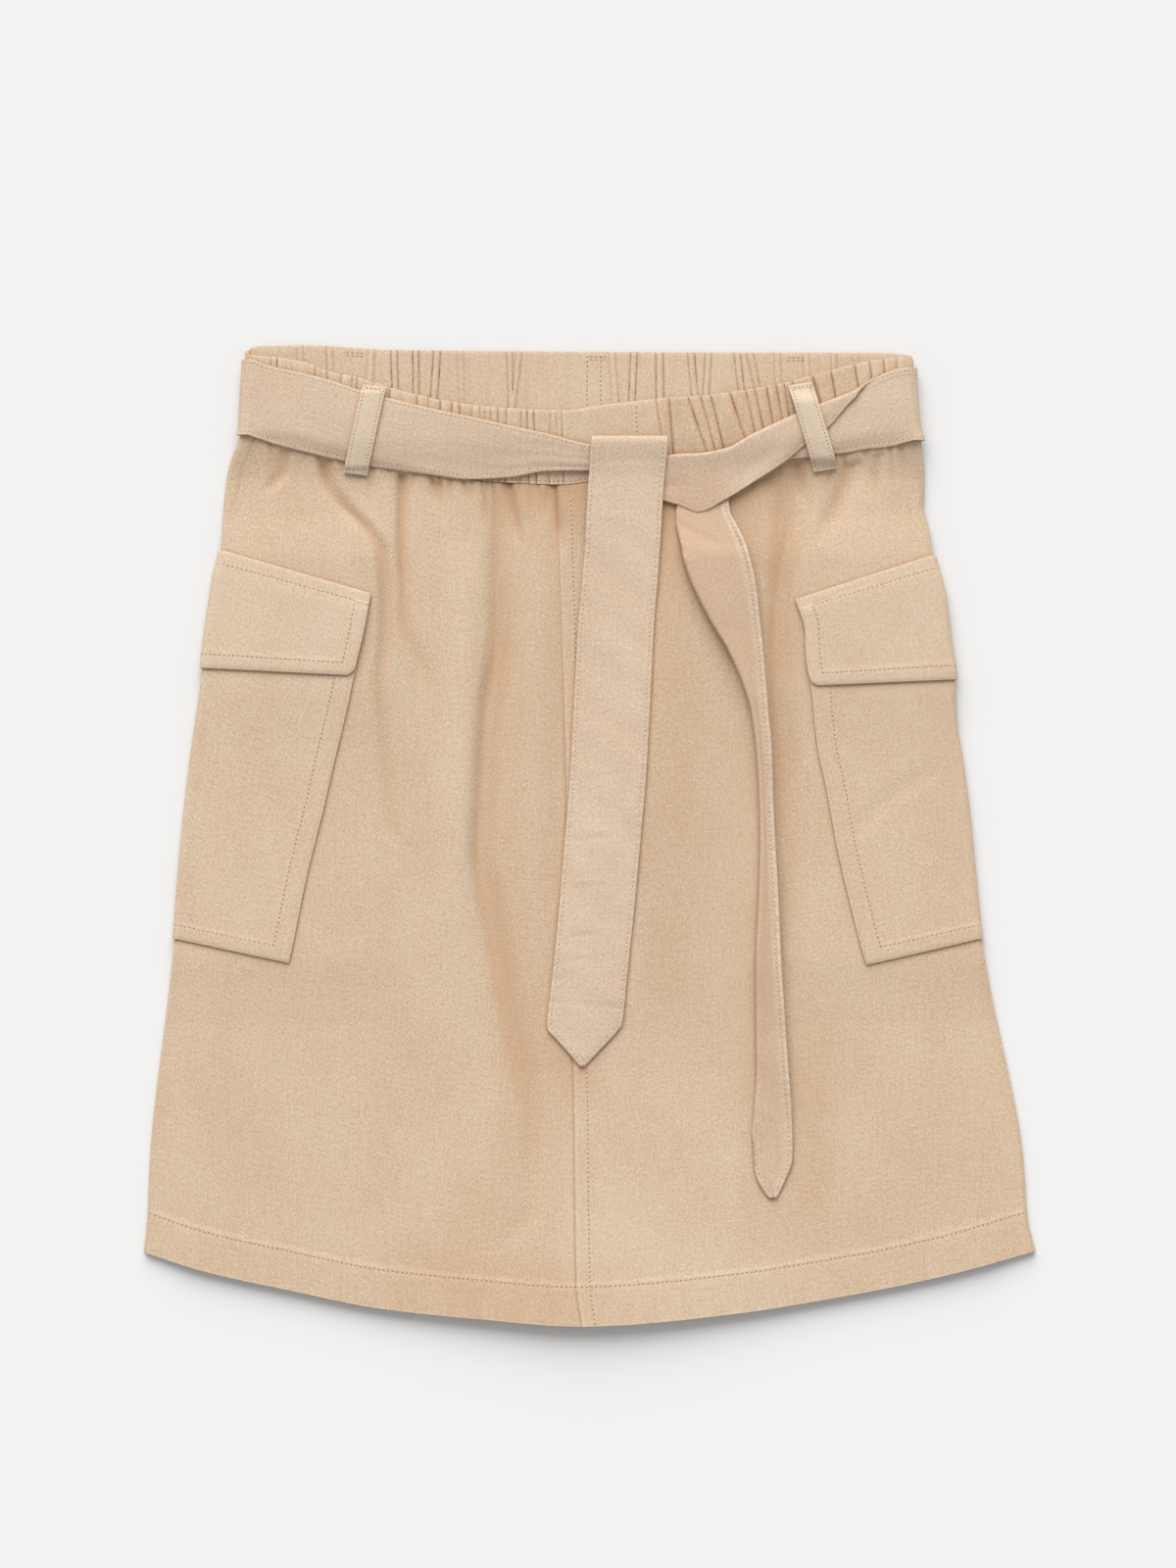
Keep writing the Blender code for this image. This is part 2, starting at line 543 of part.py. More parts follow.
def fold_inset(turned):
    """Outside of a fold to its centre."""
    fold_width = BELT_FOLD / 2 + BELT / 2
    return fold_width * min(1.0, turned / (2 * fold_width))


def belt_height(x, y):
    return over_front(x, y) + REST_GAP + BELT / 2


def belt_arc(side, share):
    """The belt round one side of the skirt, from the back to the front, at a share of its width."""
    outward = -1.0 if side == "left" else 1.0
    y = blend(BELT_SIDE_TOP[side], BELT_SIDE_LOW[side], share)
    high = belt_height(fold_at[side](y), max(y, 216.0))
    radius = (high - BELT_BACK_Z) / 2
    centre = fold_at[side](y) + outward * (belt_over_casing - radius)
    points = [(centre - outward * 4.0, y, BELT_BACK_Z)]
    for i in range(0, 7):
        turn = pi * i / 6
        points.append((centre + outward * radius * sin(turn), y, (high + BELT_BACK_Z) / 2 - radius * cos(turn)))
    return points


def belt_left():
    rows = []
    for share in spread(0.0, 1.0, 8):
        row = belt_arc("left", share)
        for x, top, low, pleat in BELT_LEFT:
            y = blend(top, low, share)
            row.append((x, y, belt_height(x, y) + pleat * sin(pi * 4 * share)))
        rows.append(row)
    return cloth_piece("belt_left", rows, BELT, belt_twill)


def belt_right():
    """The strip's section runs up from its lower edge, over the fold and down to its free edge."""
    sections = []
    for x, fold, low, free in BELT_RIGHT:
        centre_y = fold - fold_inset(fold - free)
        section = folded(centre_y - low, fold - free, (5, 5, 4))
        sections.append([(x, centre_y - u, belt_height(x, centre_y - u) + w) for u, w in section])
    down = len(sections[0])
    rows = []
    for k in range(down):
        share = 1.0 - k / (down - 1)
        rows.append(belt_arc("right", share) + [section[k] for section in sections])
    return cloth_piece("belt_right", rows, BELT, belt_twill)


def belt_back():
    start = belt_arc("left", 0.0)[0][0] + SEAM
    end = belt_arc("right", 0.0)[0][0] - SEAM
    places = [start]
    for loop in BACK_LOOPS.values():
        places += [loop - 14.0, loop - 10.0, loop - 6.5, loop, loop + 6.5, loop + 10.0, loop + 14.0]
    places.append(end)
    rows = []
    for share in (0.0, 0.5, 1.0):
        row = []
        for x in places:
            near_loop = min(abs(x - loop) for loop in BACK_LOOPS.values())
            over_loop = 1.0 - min(1.0, max(0.0, (near_loop - 7.0) / 6.5))
            across = (x - start) / (end - start)
            top = blend(BELT_SIDE_TOP["left"], BELT_SIDE_TOP["right"], across)
            low = blend(BELT_SIDE_LOW["left"], BELT_SIDE_LOW["right"], across)
            row.append((x, blend(top, low, share), BELT_BACK_Z + loops_lift * over_loop))
        rows.append(row)
    return cloth_piece("belt_back", rows, BELT, belt_twill)


belt_left()
belt_right()
belt_back()

# Front end of the belt, over the knot and down the front: y, left x, right x.
TAIL_FRONT = (
    (202.4, 1.4, 39.4), (201.6, 1.0, 39.7), (199.5, 0.9, 39.6), (196.0, 0.5, 39.4), (186.0, 0.0, 38.4),
    (176.0, -0.8, 37.5), (168.0, -1.2, 37.0), (158.0, -1.7, 36.4), (146.0, -2.3, 35.7), (126.0, -4.0, 34.3),
    (106.0, -5.8, 32.7), (80.0, -7.2, 31.4), (55.0, -8.5, 30.1), (30.0, -9.8, 28.7), (8.0, -11.6, 26.8),
    (-14.0, -13.5, 24.8), (-37.0, -15.6, 22.7), (-57.0, -17.4, 20.6), (-77.0, -19.4, 18.5),
    (-97.0, -21.6, 16.3), (-103.0, -16.6, 10.5), (-110.0, -11.0, 3.8), (-116.6, -5.8, -1.6), (-117.7, -4.6, -2.8),
)
# Over the knot the strip lies on both belt layers: y, height above the waist, share of that height.
KNOT_HEIGHT = BELT_FOLD + BELT + REST_GAP * 2 + BELT / 2
KNOT_SHARE = ((203.0, 0.3), (201.6, 0.62), (199.5, 0.9), (197.0, 1.0), (169.0, 1.0), (158.0, 0.55), (146.0, 0.0))
knot_share = Curve(KNOT_SHARE)
# Rear end of the belt, folded lengthwise at its left: y, left x, right x, width of the layer below.
TAIL_REAR = (
    (180.0, 48.0, 70.0, 0.0), (165.0, 44.4, 71.6, 0.0), (160.0, 44.6, 74.0, 1.3), (155.0, 45.0, 76.5, 2.6),
    (150.0, 45.9, 78.8, 3.8), (142.0, 47.5, 81.3, 8.0), (130.4, 51.2, 84.0, 14.0), (110.0, 61.2, 86.5, 14.0),
    (94.0, 70.7, 88.2, 12.0), (79.4, 77.2, 89.5, 9.5), (63.4, 82.2, 90.7, 6.5), (44.4, 84.7, 92.5, 6.0),
    (26.0, 86.0, 93.0, 5.5), (-1.2, 86.8, 94.2, 6.0), (-27.7, 86.2, 95.7, 7.5), (-65.7, 84.7, 97.5, 10.0),
    (-95.0, 84.9, 99.5, 12.0), (-123.2, 85.0, 101.5, 8.0), (-132.0, 84.5, 102.2, 3.8), (-138.0, 84.0, 102.7, 2.6),
    (-144.0, 83.7, 103.0, 1.3), (-151.0, 83.6, 103.2, 0.0), (-165.2, 83.9, 103.2, 0.0), (-175.2, 88.0, 99.7, 0.0),
    (-183.6, 92.8, 95.4, 0.0),
)


def tail_front():
    rows = []
    for y, left, right in TAIL_FRONT:
        row = []
        for x in spread(left, right, 5):
            on_knot = over_front(x, y) + KNOT_HEIGHT * knot_share(y)
            on_panel = top_of_folds(x, y) + REST_GAP + BELT / 2
            row.append((x, y, max(on_knot, on_panel) if y > 146.0 else on_panel))
        rows.append(row)
    return cloth_piece("tail_front", rows, BELT, belt_twill)


def tail_rear():
    rows = []
    for y, left, right, under in TAIL_REAR:
        rest = max(top_of_folds(x, y) for x in (left, (left + right) / 2, right)) + REST_GAP + BELT / 2
        layers = min(1.0, under / 4.0)
        centre = left + fold_inset(under)
        top = rest + BELT_FOLD * layers
        rows.append([(centre + u, y, top - w) for u, w in folded(right - centre, under, (4, 4, 2))])
    return cloth_piece("tail_rear", rows, BELT, belt_twill)


tail_front()
tail_rear()

# ---- Belt loops ----------------------------------------------------------------------------------
# Front loops: the middle of the top and bottom ends, the belt's edges there and the layers under
# the loop. Each end is sewn flat to the skirt and the middle passes over the belt.
FRONT_LOOPS = {
    "left": ((-109.5, 229.0), (-119.5, 184.4), (225.6, 189.2), BELT),
    "right": ((107.0, 230.0), (120.5, 186.4), (219.5, 193.4), BELT_FOLD + BELT),
}
END_STEP = REST_GAP + CLOTH / 2


def loop_front(side):
    (top_x, top_y), (low_x, low_y), (belt_top, belt_low), layers = FRONT_LOOPS[side]
    over = REST_GAP + layers + REST_GAP + CLOTH / 2
    rise = 1.2 + layers * 0.55
    levels = [(top_y, END_STEP), (min(top_y - 0.8, belt_top + rise), END_STEP), (belt_top + 0.7, over)]
    levels += [(blend(belt_top, belt_low, t), over) for t in (0.2, 0.4, 0.6, 0.8)]
    levels += [(belt_low - 0.9, over), (belt_low - rise, END_STEP), (low_y, END_STEP)]
    rows = []
    for y, height in levels:
        middle = blend(top_x, low_x, (top_y - y) / (top_y - low_y))
        tilt = 1.5 if side == "left" else -2.0
        row = []
        for t in (-0.5, 0.0, 0.5):
            x = middle + LOOP_WIDTH * t
            edge_y = y - tilt * t
            row.append((x, edge_y, over_front(middle, edge_y) + height))
        rows.append(row)
    return cloth_piece("loop_front_" + side, rows, CLOTH, skirt_twill)


def loop_back(side, x):
    across = (x - side_left(225.0)) / (side_right(225.0) - side_left(225.0))
    belt_top = blend(BELT_SIDE_TOP["left"], BELT_SIDE_TOP["right"], across)
    top = min(top_back(x) - 0.8, belt_top + 6.0)
    levels = ((top, 2.0), (top - 1.4, 2.0), (belt_top + 0.8, 0.6), (225.0, 0.6), (205.0, 0.6), (197.5, 0.6))
    rows = [[(x + LOOP_WIDTH * t, y, z) for t in (-0.5, 0.0, 0.5)] for y, z in levels]
    return cloth_piece("loop_back_" + side, rows, CLOTH, skirt_twill)


for side in FRONT_LOOPS:
    loop_front(side)
for side, x in BACK_LOOPS.items():
    loop_back(side, x)
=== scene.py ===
"""A cargo utility skirt of cotton twill, laid flat on its back on a white table.

Two front and two back panels hang from a gathered elastic casing. A cargo pocket with a flap sits over
each side seam, and a tie belt runs through five loops and is tied in front.
Cloth sizes are in millimetres: X across the skirt, Y from hem to waist, Z up from the table.
"""

import bmesh
import bpy
import numpy as np
from mathutils import Matrix, Vector


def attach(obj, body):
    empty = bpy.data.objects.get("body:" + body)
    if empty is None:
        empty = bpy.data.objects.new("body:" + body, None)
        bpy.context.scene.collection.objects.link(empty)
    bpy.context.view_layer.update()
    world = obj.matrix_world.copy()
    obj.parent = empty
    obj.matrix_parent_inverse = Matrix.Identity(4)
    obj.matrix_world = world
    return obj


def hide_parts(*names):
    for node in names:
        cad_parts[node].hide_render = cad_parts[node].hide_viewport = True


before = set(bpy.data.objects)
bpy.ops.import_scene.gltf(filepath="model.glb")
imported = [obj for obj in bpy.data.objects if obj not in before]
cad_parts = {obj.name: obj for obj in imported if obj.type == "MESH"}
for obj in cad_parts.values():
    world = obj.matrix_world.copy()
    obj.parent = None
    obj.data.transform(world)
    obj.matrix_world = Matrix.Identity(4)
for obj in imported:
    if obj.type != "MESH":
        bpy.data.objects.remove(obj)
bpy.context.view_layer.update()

# ---- Table, light and camera ---------------------------------------------------------------------
# The skirt lies on a white studio table. One broad soft light stands low beyond its waist, a little
# to the left, and the white room round it fills the shadows. The camera looks straight down.
VIEW_CENTRE = (-0.0008, 0.0263)
VIEW_HEIGHT = 0.8
VIEW_DISTANCE = 2.4
CLOTH_LEVEL = 0.007
SENSOR = 36.0
LIGHT_PLACE = (-0.20, 1.60, 1.20)
LIGHT_STRENGTH, LIGHT_SPREAD, ROOM_STRENGTH = 3.22, 0.95, 0.50
TABLE_WHITE = (0.80, 0.80, 0.80)
TABLE_HALF_WIDTH = 4.0

scene = bpy.context.scene
scene.view_settings.view_transform = "Standard"


def matt(name, roughness, specular, colour=(1.0, 1.0, 1.0)):
    """A matt material and its shader node."""
    material = bpy.data.materials.new(name)
    material.use_nodes = True
    shader = material.node_tree.nodes["Principled BSDF"]
    shader.inputs["Base Color"].default_value = (*colour, 1.0)
    shader.inputs["Roughness"].default_value = roughness
    shader.inputs["Specular IOR Level"].default_value = specular
    return material, shader


def add_object(name, shape, *materials):
    """An object in the scene from a finished shape."""
    mesh = bpy.data.meshes.new(name)
    shape.to_mesh(mesh)
    shape.free()
    for material in materials:
        mesh.materials.append(material)
    made = bpy.data.objects.new(name, mesh)
    scene.collection.objects.link(made)
    return made


shape = bmesh.new()
bmesh.ops.create_grid(shape, x_segments=1, y_segments=1, size=TABLE_HALF_WIDTH)
add_object("table_top", shape, matt("white_table", 0.9, 0.1, TABLE_WHITE)[0])

room = bpy.data.worlds.new("white_room")
room.use_nodes = True
glow = room.node_tree.nodes["Background"]
glow.inputs["Color"].default_value = (1.0, 1.0, 1.0, 1.0)
glow.inputs["Strength"].default_value = ROOM_STRENGTH
scene.world = room

softbox = bpy.data.lights.new("softbox", "SUN")
softbox.energy = LIGHT_STRENGTH
softbox.angle = LIGHT_SPREAD
light = bpy.data.objects.new("softbox", softbox)
light.location = LIGHT_PLACE
light.rotation_euler = (-light.location).to_track_quat("-Z", "Y").to_euler()
scene.collection.objects.link(light)

lens = bpy.data.cameras.new("overhead")
lens.sensor_fit = "VERTICAL"
lens.sensor_height = SENSOR
lens.lens = SENSOR * (VIEW_DISTANCE - CLOTH_LEVEL) / VIEW_HEIGHT
camera = bpy.data.objects.new("overhead", lens)
camera.location = (*VIEW_CENTRE, VIEW_DISTANCE)
scene.collection.objects.link(camera)
scene.camera = camera

# ---- Twill ---------------------------------------------------------------------------------------
# Washed cotton twill: steep diagonal wales about 1 mm apart, with uneven yarns that show as fine grain and
# as faint streaks along the warp and the weft. Edges and seams are a little paler where they rub. Painted
# shade deepens the tone in crevices, valleys, stitch lines and patches by the belt, and some crests and
# edges get painted highlights.
WALE_PITCH = 0.95
WALE_ACROSS, WALE_ALONG = 0.88, 0.47     # unit normal of a wale, against weft and warp
YARN_PITCH = 0.36
PAINTED_SHADE_REACH = 0.0025                   # metres; cloth this close to other cloth is painted a deeper tone, as painted shade
SHEEN, SHEEN_TINT = 0.12, (1.0, 0.94, 0.88, 1.0)


def wire(tree, kind, settings=(), **sockets):
    """A new node with its settings. A socket takes a number, a tuple or another node's output."""
    node = tree.nodes.new(kind)
    for name, value in settings:
        setattr(node, name, value)
    for name, value in sockets.items():
        socket = node.inputs[int(name[1:])]
        if isinstance(value, bpy.types.NodeSocket):
            tree.links.new(value, socket)
        else:
            socket.default_value = value
    return node


def math(tree, operation, first, second=0.0):
    return wire(tree, "ShaderNodeMath", [("operation", operation)], i0=first, i1=second).outputs[0]


def between_tones(tree, share, deep, pale):
    return wire(tree, "ShaderNodeMix", [("data_type", "RGBA"), ("clamp_factor", True)], i0=share,
                i6=(*deep, 1.0), i7=(*pale, 1.0)).outputs[2]


def twill(name, deep, pale, roughness, wale_tone):
    """Twill between a deep and a pale tone, woven along the piece's own grain map in metres."""
    material, shader = matt(name, roughness, 0.18)
    tree = material.node_tree
    grain = wire(tree, "ShaderNodeUVMap", [("uv_map", "grain")]).outputs[0]

    def noise(across, along, detail=2.0):
        """Noise with a grain of so many millimetres across and along the warp."""
        stretched = wire(tree, "ShaderNodeVectorMath", [("operation", "MULTIPLY")], i0=grain,
                         i1=(1000.0 / across, 1000.0 / along, 1.0)).outputs[0]
        texture = wire(tree, "ShaderNodeTexNoise", i0=stretched, i2=1.0, i3=detail)
        return math(tree, "SUBTRACT", texture.outputs[0], 0.5)

    def phase(pitch, across, along):
        turn = 2000.0 * np.pi / pitch
        return wire(tree, "ShaderNodeVectorMath", [("operation", "DOT_PRODUCT")], i0=grain,
                    i1=(across * turn, along * turn, 0.0)).outputs[1]

    def weighed(total, *parts):
        for part, share in parts:
            total = math(tree, "ADD", math(tree, "MULTIPLY", part, share), total)
        return total

    wander = noise(6.0, 20.0, 1.0)
    wale = math(tree, "SINE", weighed(phase(WALE_PITCH, WALE_ACROSS, WALE_ALONG), (wander, 4.5)))
    yarn = math(tree, "SINE", phase(YARN_PITCH, 1.0, 0.0))
    speckle = noise(0.8, 1.2)
    slub = noise(1.3, 1.7)
    warp_streak = noise(0.9, 16.0)
    weft_streak = noise(14.0, 0.9)
    cloud = noise(45.0, 60.0)
    # Each piece's tone map: pale worn edges, together with painted shade and painted highlights.
    wear_and_painted_light = wire(tree, "ShaderNodeAttribute", [("attribute_name", "wear_and_painted_light")]).outputs[2]
    # Painted shade: an occlusion test darkens the tone wherever other cloth is close by.
    open_air = wire(tree, "ShaderNodeAmbientOcclusion", [("samples", 4)], i1=PAINTED_SHADE_REACH).outputs[1]
    painted_crevice_shade = math(tree, "SUBTRACT", open_air, 1.0)
    tone = weighed(0.5, (wale, wale_tone), (speckle, 1.5), (slub, 1.1), (warp_streak, 0.55),
                   (weft_streak, 0.45), (cloud, 0.45), (wear_and_painted_light, 0.55), (painted_crevice_shade, 1.2))
    tree.links.new(between_tones(tree, tone, deep, pale), shader.inputs["Base Color"])
    height = weighed(0.0, (wale, 0.035), (yarn, 0.012), (speckle, 0.10), (noise(2.2, 3.4), 0.16))
    bump = wire(tree, "ShaderNodeBump", i0=1.0, i1=0.001)
    tree.links.new(height, bump.inputs["Height"])
    tree.links.new(bump.outputs[0], shader.inputs["Normal"])
    shader.inputs["Sheen Weight"].default_value = SHEEN
    shader.inputs["Sheen Roughness"].default_value = 0.5
    shader.inputs["Sheen Tint"].default_value = SHEEN_TINT
    return material


twills = {"skirt_twill": twill("skirt_twill", (0.552, 0.352, 0.209), (0.707, 0.590, 0.452), 0.92, 0.36)}

thread, strand = matt("sewing_thread", 0.7, 0.3)
fibre = wire(thread.node_tree, "ShaderNodeTexNoise",
             i0=wire(thread.node_tree, "ShaderNodeTexCoord").outputs["Object"], i2=900.0, i3=1.0).outputs[0]
fibre_tone = between_tones(thread.node_tree, fibre, (0.64, 0.50, 0.365), (0.86, 0.72, 0.575))
thread.node_tree.links.new(fibre_tone, strand.inputs["Base Color"])
# Needle dents are drawn as small dark marks: painted shade.
needle_shade = matt("needle_dent_shade", 1.0, 0.5, (0.27, 0.160, 0.090))[0]

# ---- Skirt panels --------------------------------------------------------------------------------
# Two back panels lie on the table, round the side folds and meet the two front panels at the side
# seams. The hem is turned up twice and stitched, and the centre front seam is topstitched.
MM = 0.001
CLOTH = 1.0             # wall of a panel, with its seam allowances
CAD_CLOTH = 1.2         # room that each layer takes in the stack
CASING_HEIGHT = 37.5    # top of the waistband to the waist seam
SEAM = 0.3              # between pieces that are sewn together
INSIDE = 1.3            # clear height between the back and a flat stretch of the front
HEM = 20.0              # hem stitches above the hem's edge
TOPSTITCH = 7.0         # centre front topstitch beside the seam
CENTRE_BACK = 3.0       # x of the centre back seam
RIM_SHADE = 0.9               # painted shade along a cut or folded rim: how much deeper its tone is than the worn cloth beside it
RIM_SHADE_WIDTH = 0.28
OUTWARD = {"left": -1.0, "right": 1.0}


class Curve:
    """A smooth line through (place, value) points that never overshoots them."""

    def __init__(self, points):
        ordered = sorted(points)
        self.at = np.array([p[0] for p in ordered], float)
        self.value = np.array([p[1] for p in ordered], float)
        slope = np.diff(self.value) / np.diff(self.at)
        same_way = slope[:-1] * slope[1:] > 0.0
        total = np.where(same_way, slope[:-1] + slope[1:], 1.0)
        inner = np.where(same_way, 2.0 * slope[:-1] * slope[1:] / total, 0.0)
        self.slope = np.concatenate(([slope[0]], inner, [slope[-1]]))

    def __call__(self, place):
        place = np.clip(place, self.at[0], self.at[-1])
        i = np.clip(np.searchsorted(self.at, place, side="right") - 1, 0, len(self.at) - 2)
        step = self.at[i + 1] - self.at[i]
        t = (place - self.at[i]) / step
        rise = self.value[i + 1] - self.value[i]
        start, end = self.slope[i] * step, self.slope[i + 1] * step
        return self.value[i] + t * (start + t * (3 * rise - 2 * start - end + t * (start + end - 2 * rise)))


def columns_of(table, *places):
    """One Curve for each asked column of a table, against its first column."""
    return [Curve([(row[0], row[at]) for row in table]) for at in places]


def blend(start, end, t):
    return start + (end - start) * t


def ease(t):
    """From 0 to 1 with a soft start and a soft end."""
    return 0.5 - 0.5 * np.cos(np.pi * np.clip(t, 0.0, 1.0))


def groove(distance, width):
    """1 on a line and 0 from the width away."""
    return 1.0 - ease(np.abs(distance) / width)


def fall(distance, width):
    """From 1 at a line to 0 at the width past it."""
    return 1.0 - ease(distance / width)


def window(place, low, fade_low, high, fade_high):
    """1 between low and high, after a soft start at low and before a soft end at high."""
    return ease((place - low) / fade_low) * ease((high - place) / fade_high)


def rim(from_edge, pale, width):
    """Tone beside an edge: a band that is rubbed pale, and a deeper line of painted shade along the rim
    itself.
    """
    return pale * groove(from_edge, width) - RIM_SHADE * groove(from_edge, RIM_SHADE_WIDTH)


def nearest(places, wanted):
    return int(np.argmin(np.abs(places - wanted)))


# Side folds at the middle of the wall: y, left x, right x.
SIDES = (
    (247, -175, 162.4), (242, -175, 164.4), (228, -175.8, 164.9), (207, -176.9, 167), (203, -177.8, 168.4),
    (198, -180.2, 169.2), (186, -184.4, 170.6), (175, -185.8, 170.6), (168, -186.5, 170), (160, -187, 172.2),
    (145, -187.8, 174.7), (133, -189.5, 176.6), (121, -191.2, 179.4), (100, -194.3, 181.9),
    (82, -196.3, 184.6), (55, -200.3, 186.4), (41, -202.3, 188.8), (13, -205.7, 192.6), (-22, -209, 196.1),
    (-46, -210.8, 198.6), (-74, -213.9, 203.6), (-164, -224.2, 221.1), (-195, -225.6, 223.4),
    (-212, -227.4, 227.4),
)
# Upper edge of the waistband in front, and the back's waist seam: x, y.
TOP_FRONT = (
    (-176, 245.4), (-159, 243.4), (-145, 240.8), (-133, 236.4), (-121, 233.9), (-101, 227.9), (-86, 223.9),
    (-68, 220.4), (-42, 217.6), (-14, 216.6), (9, 219.7), (34, 222.4), (61, 224.4), (83, 227.4), (101, 230.9),
    (122, 236.4), (143, 241.6), (165, 244.4),
)
WAIST_BACK = (
    (-177, 207.9), (-150, 211), (-100, 210.4), (0, 209.6), (100, 209), (167, 206.9),
)
# Lower edges of front and back: x, y.
HEM_FRONT = (
    (-227.4, -213.2), (-195, -223.2), (-154, -232.2), (-106, -241.7), (-57, -246.7), (-5, -250.4),
    (12, -249.9), (72, -244.4), (128, -235.7), (178, -225.7), (227.4, -212.6),
)
HEM_BACK = (
    (-227.4, -213), (-150, -222), (0, -232), (150, -221.5), (227.4, -212.4),
)
side_left, side_right = columns_of(SIDES, 1, 2)
fold_at = {"left": side_left, "right": side_right}
top_front, waist_back = Curve(TOP_FRONT), Curve(WAIST_BACK)
hem_front, hem_back = Curve(HEM_FRONT), Curve(HEM_BACK)
# x of the centre front seam: y, x.
centre_front = Curve(((180, -17), (156, -16), (-124, -8.3), (-229, -6.8), (-250, -4)))

# How the layers stack: y, height.
back_over_belt = Curve(((203, 4), (196, 2.6), (189, 1.1), (184, 0.6)))
back_over_pocket = Curve(((165, 0.6), (152, 2.3), (140, 4), (76, 4), (62, 2.3), (-60, 2.3),
                          (-75, 0.6)))
back_top = Curve(((216, 5.6), (203, 4.9), (196, 3.8), (189, 2.3), (182, 1.4), (176, 1.2)))
pocket_lift = Curve(((182, 0), (165, 0.8), (152, 2.4), (140, 3.4), (76, 3.4), (60, 2.7),
                     (40, 1.9), (20, 1.7), (-60, 1.7), (-80, 0.7), (-96, 0)))
# x of the bags' edges on the back, and how far past them a bag lifts the back and the front: fully up to
# the first distance, and not at all from the second.
BAG_BACK_EDGE = {"left": -123.0, "right": 109.0}
LIFT_FULL, LIFT_END = 4.5, 19.0
LIFT_FULL_FRONT, LIFT_END_FRONT = 14.0, 36.0
BACK_Z = 0.6            # middle of the back's wall where it lies on the table


def beside_pocket(x, full, end):
    """1 over a pocket, 0 between the pockets, with a ramp from full to end beside each bag."""
    from_left = (x - BAG_BACK_EDGE["left"] - full) / (end - full)
    from_right = (BAG_BACK_EDGE["right"] - x - full) / (end - full)
    return 1.0 - np.clip(np.minimum(from_left, from_right), 0.0, 1.0)


def back_height(x, y):
    over_pocket = blend(BACK_Z, back_over_pocket(y), beside_pocket(x, LIFT_FULL, LIFT_END))
    return np.maximum(over_pocket, back_over_belt(y))


def under_front(x, y):
    return back_top(y) + pocket_lift(y) * beside_pocket(x, LIFT_FULL_FRONT, LIFT_END_FRONT)


FOLD_DEPTH = 2.0        # height of a fold whose depth is given as 1
# Folds of the front as it lies: reach to the left and to the right, then y, x, depth down the fold.
FOLDS = {
    "below_belt_side": (6, 6, ((197, -155, -0.8), (185, -157, -0.8), (173, -168, 0))),
    "flap_corner": (6, 7, ((194, -135, -0.8), (181, -133, -1), (169, -126, -1), (156, -113, -1.1),
        (144, -106, -1.2), (126, -104, -1.1), (96, -105, -1), (76, -107, -0.8), (51, -105, -0.7),
        (6, -101, -0.4), (-16, -86, 0))),
    "beside_flap_corner": (6, 7, ((185, -96, -1), (156, -96, -1), (131, -95, -0.9), (106, -94, -0.7),
        (90, -88, -0.5), (70, -80, 0))),
    "waist_left": (5, 5, ((181, -78, -0.8), (166, -76, 0))),
    "long_left": (8, 13, ((176, -49, 0), (156, -48, -0.8), (116, -48, -1.2), (98, -48, -1.5), (66, -52, -1.8),
        (19, -55, -1.8), (-9, -56, -1.7), (-36, -52, -1.5), (-76, -45, -1.2), (-111, -38, -1),
        (-154, -30, -0.8), (-185, -30, -0.5), (-215, -46, 0))),
    "long_left_crest": (16, 12, ((150, -66, 0), (120, -64, 1), (40, -66, 1.3), (-30, -68, 0.9),
        (-90, -60, 0.4), (-130, -55, 0))),
    "middle_crest": (14, 14, ((165, -26, 0), (100, -27, 0.9), (0, -28, 0.9), (-90, -24, 0.3),
        (-120, -20, 0))),
    "waist_middle": (6, 5, ((183, -42, -0.9), (161, -38, -0.8), (146, -35, 0))),
    "waist_seam_side": (5, 5, ((183, -19, -0.9), (159, -15, -0.8), (142, -14, 0))),
    "waist_right": (5, 6, ((191, 106, -0.8), (184, 107, -0.9), (168, 109, 0))),
    "beside_tail": (8, 18, ((190, 99, 0), (157, 98, -1.2), (122, 95, -1.4), (79, 95, -1.1), (30, 97, -0.9),
        (-30, 98, -0.6), (-90, 100, 0))),
    "loop_right": (8, 9, ((191, 134, -1.1), (179, 130, -1.1), (164, 124, -0.9), (148, 117, 0))),
    "waist_side_right": (5, 5, ((195, 147, -0.8), (186, 146, -0.8), (170, 145, 0))),
    "between_tails": (44, 58, ((176, 34, 0), (140, 35, 1.5), (90, 33, 2), (20, 30, 1.9), (-40, 24, 1),
        (-100, 20, 0))),
    "bag_right": (14, 12, ((38, 182, 0), (24, 160, -0.25), (8, 142, -0.2), (-4, 134, 0))),
    "bag_left": (16, 14, ((60, -180, 0), (30, -168, -0.25), (0, -158, -0.2), (-30, -152, 0))),
    "hem_rise": (150, 150, ((-120, 0, 0), (-200, 0, 1), (-250, 0, 2.2), (-256, 0, 2.3))),
    # Sharp creases that run into the waist seam, inside the folds above.
    "crease_left_loop": (2, 3, ((186, -97, -0.6), (150, -96.5, -0.7), (120, -95.5, -0.3), (105, -95, 0))),
    "crease_flap": (3, 2.5, ((190, -137, -0.5), (175, -132, -0.5), (160, -118, -0.3), (140, -106, -0.3),
        (110, -104, 0))),
    "crease_middle": (2.5, 3, ((180, -50, -0.3), (150, -48, -0.4), (100, -48, -0.4), (60, -52, 0))),
    "crease_centre": (2, 2.5, ((182, -41, -0.6), (168, -39, -0.6), (150, -35, -0.3), (140, -33, 0))),
    "crease_seam": (1.8, 2, ((182, -18, -0.5), (160, -16, -0.5), (150, -14.5, 0))),
    "crease_tail": (2.2, 4, ((172, 105, 0), (151, 100, -0.5), (134, 97, -0.8), (109, 94, -0.8),
        (89, 92.5, -0.6), (60, 92, -0.3), (40, 92, 0))),
}
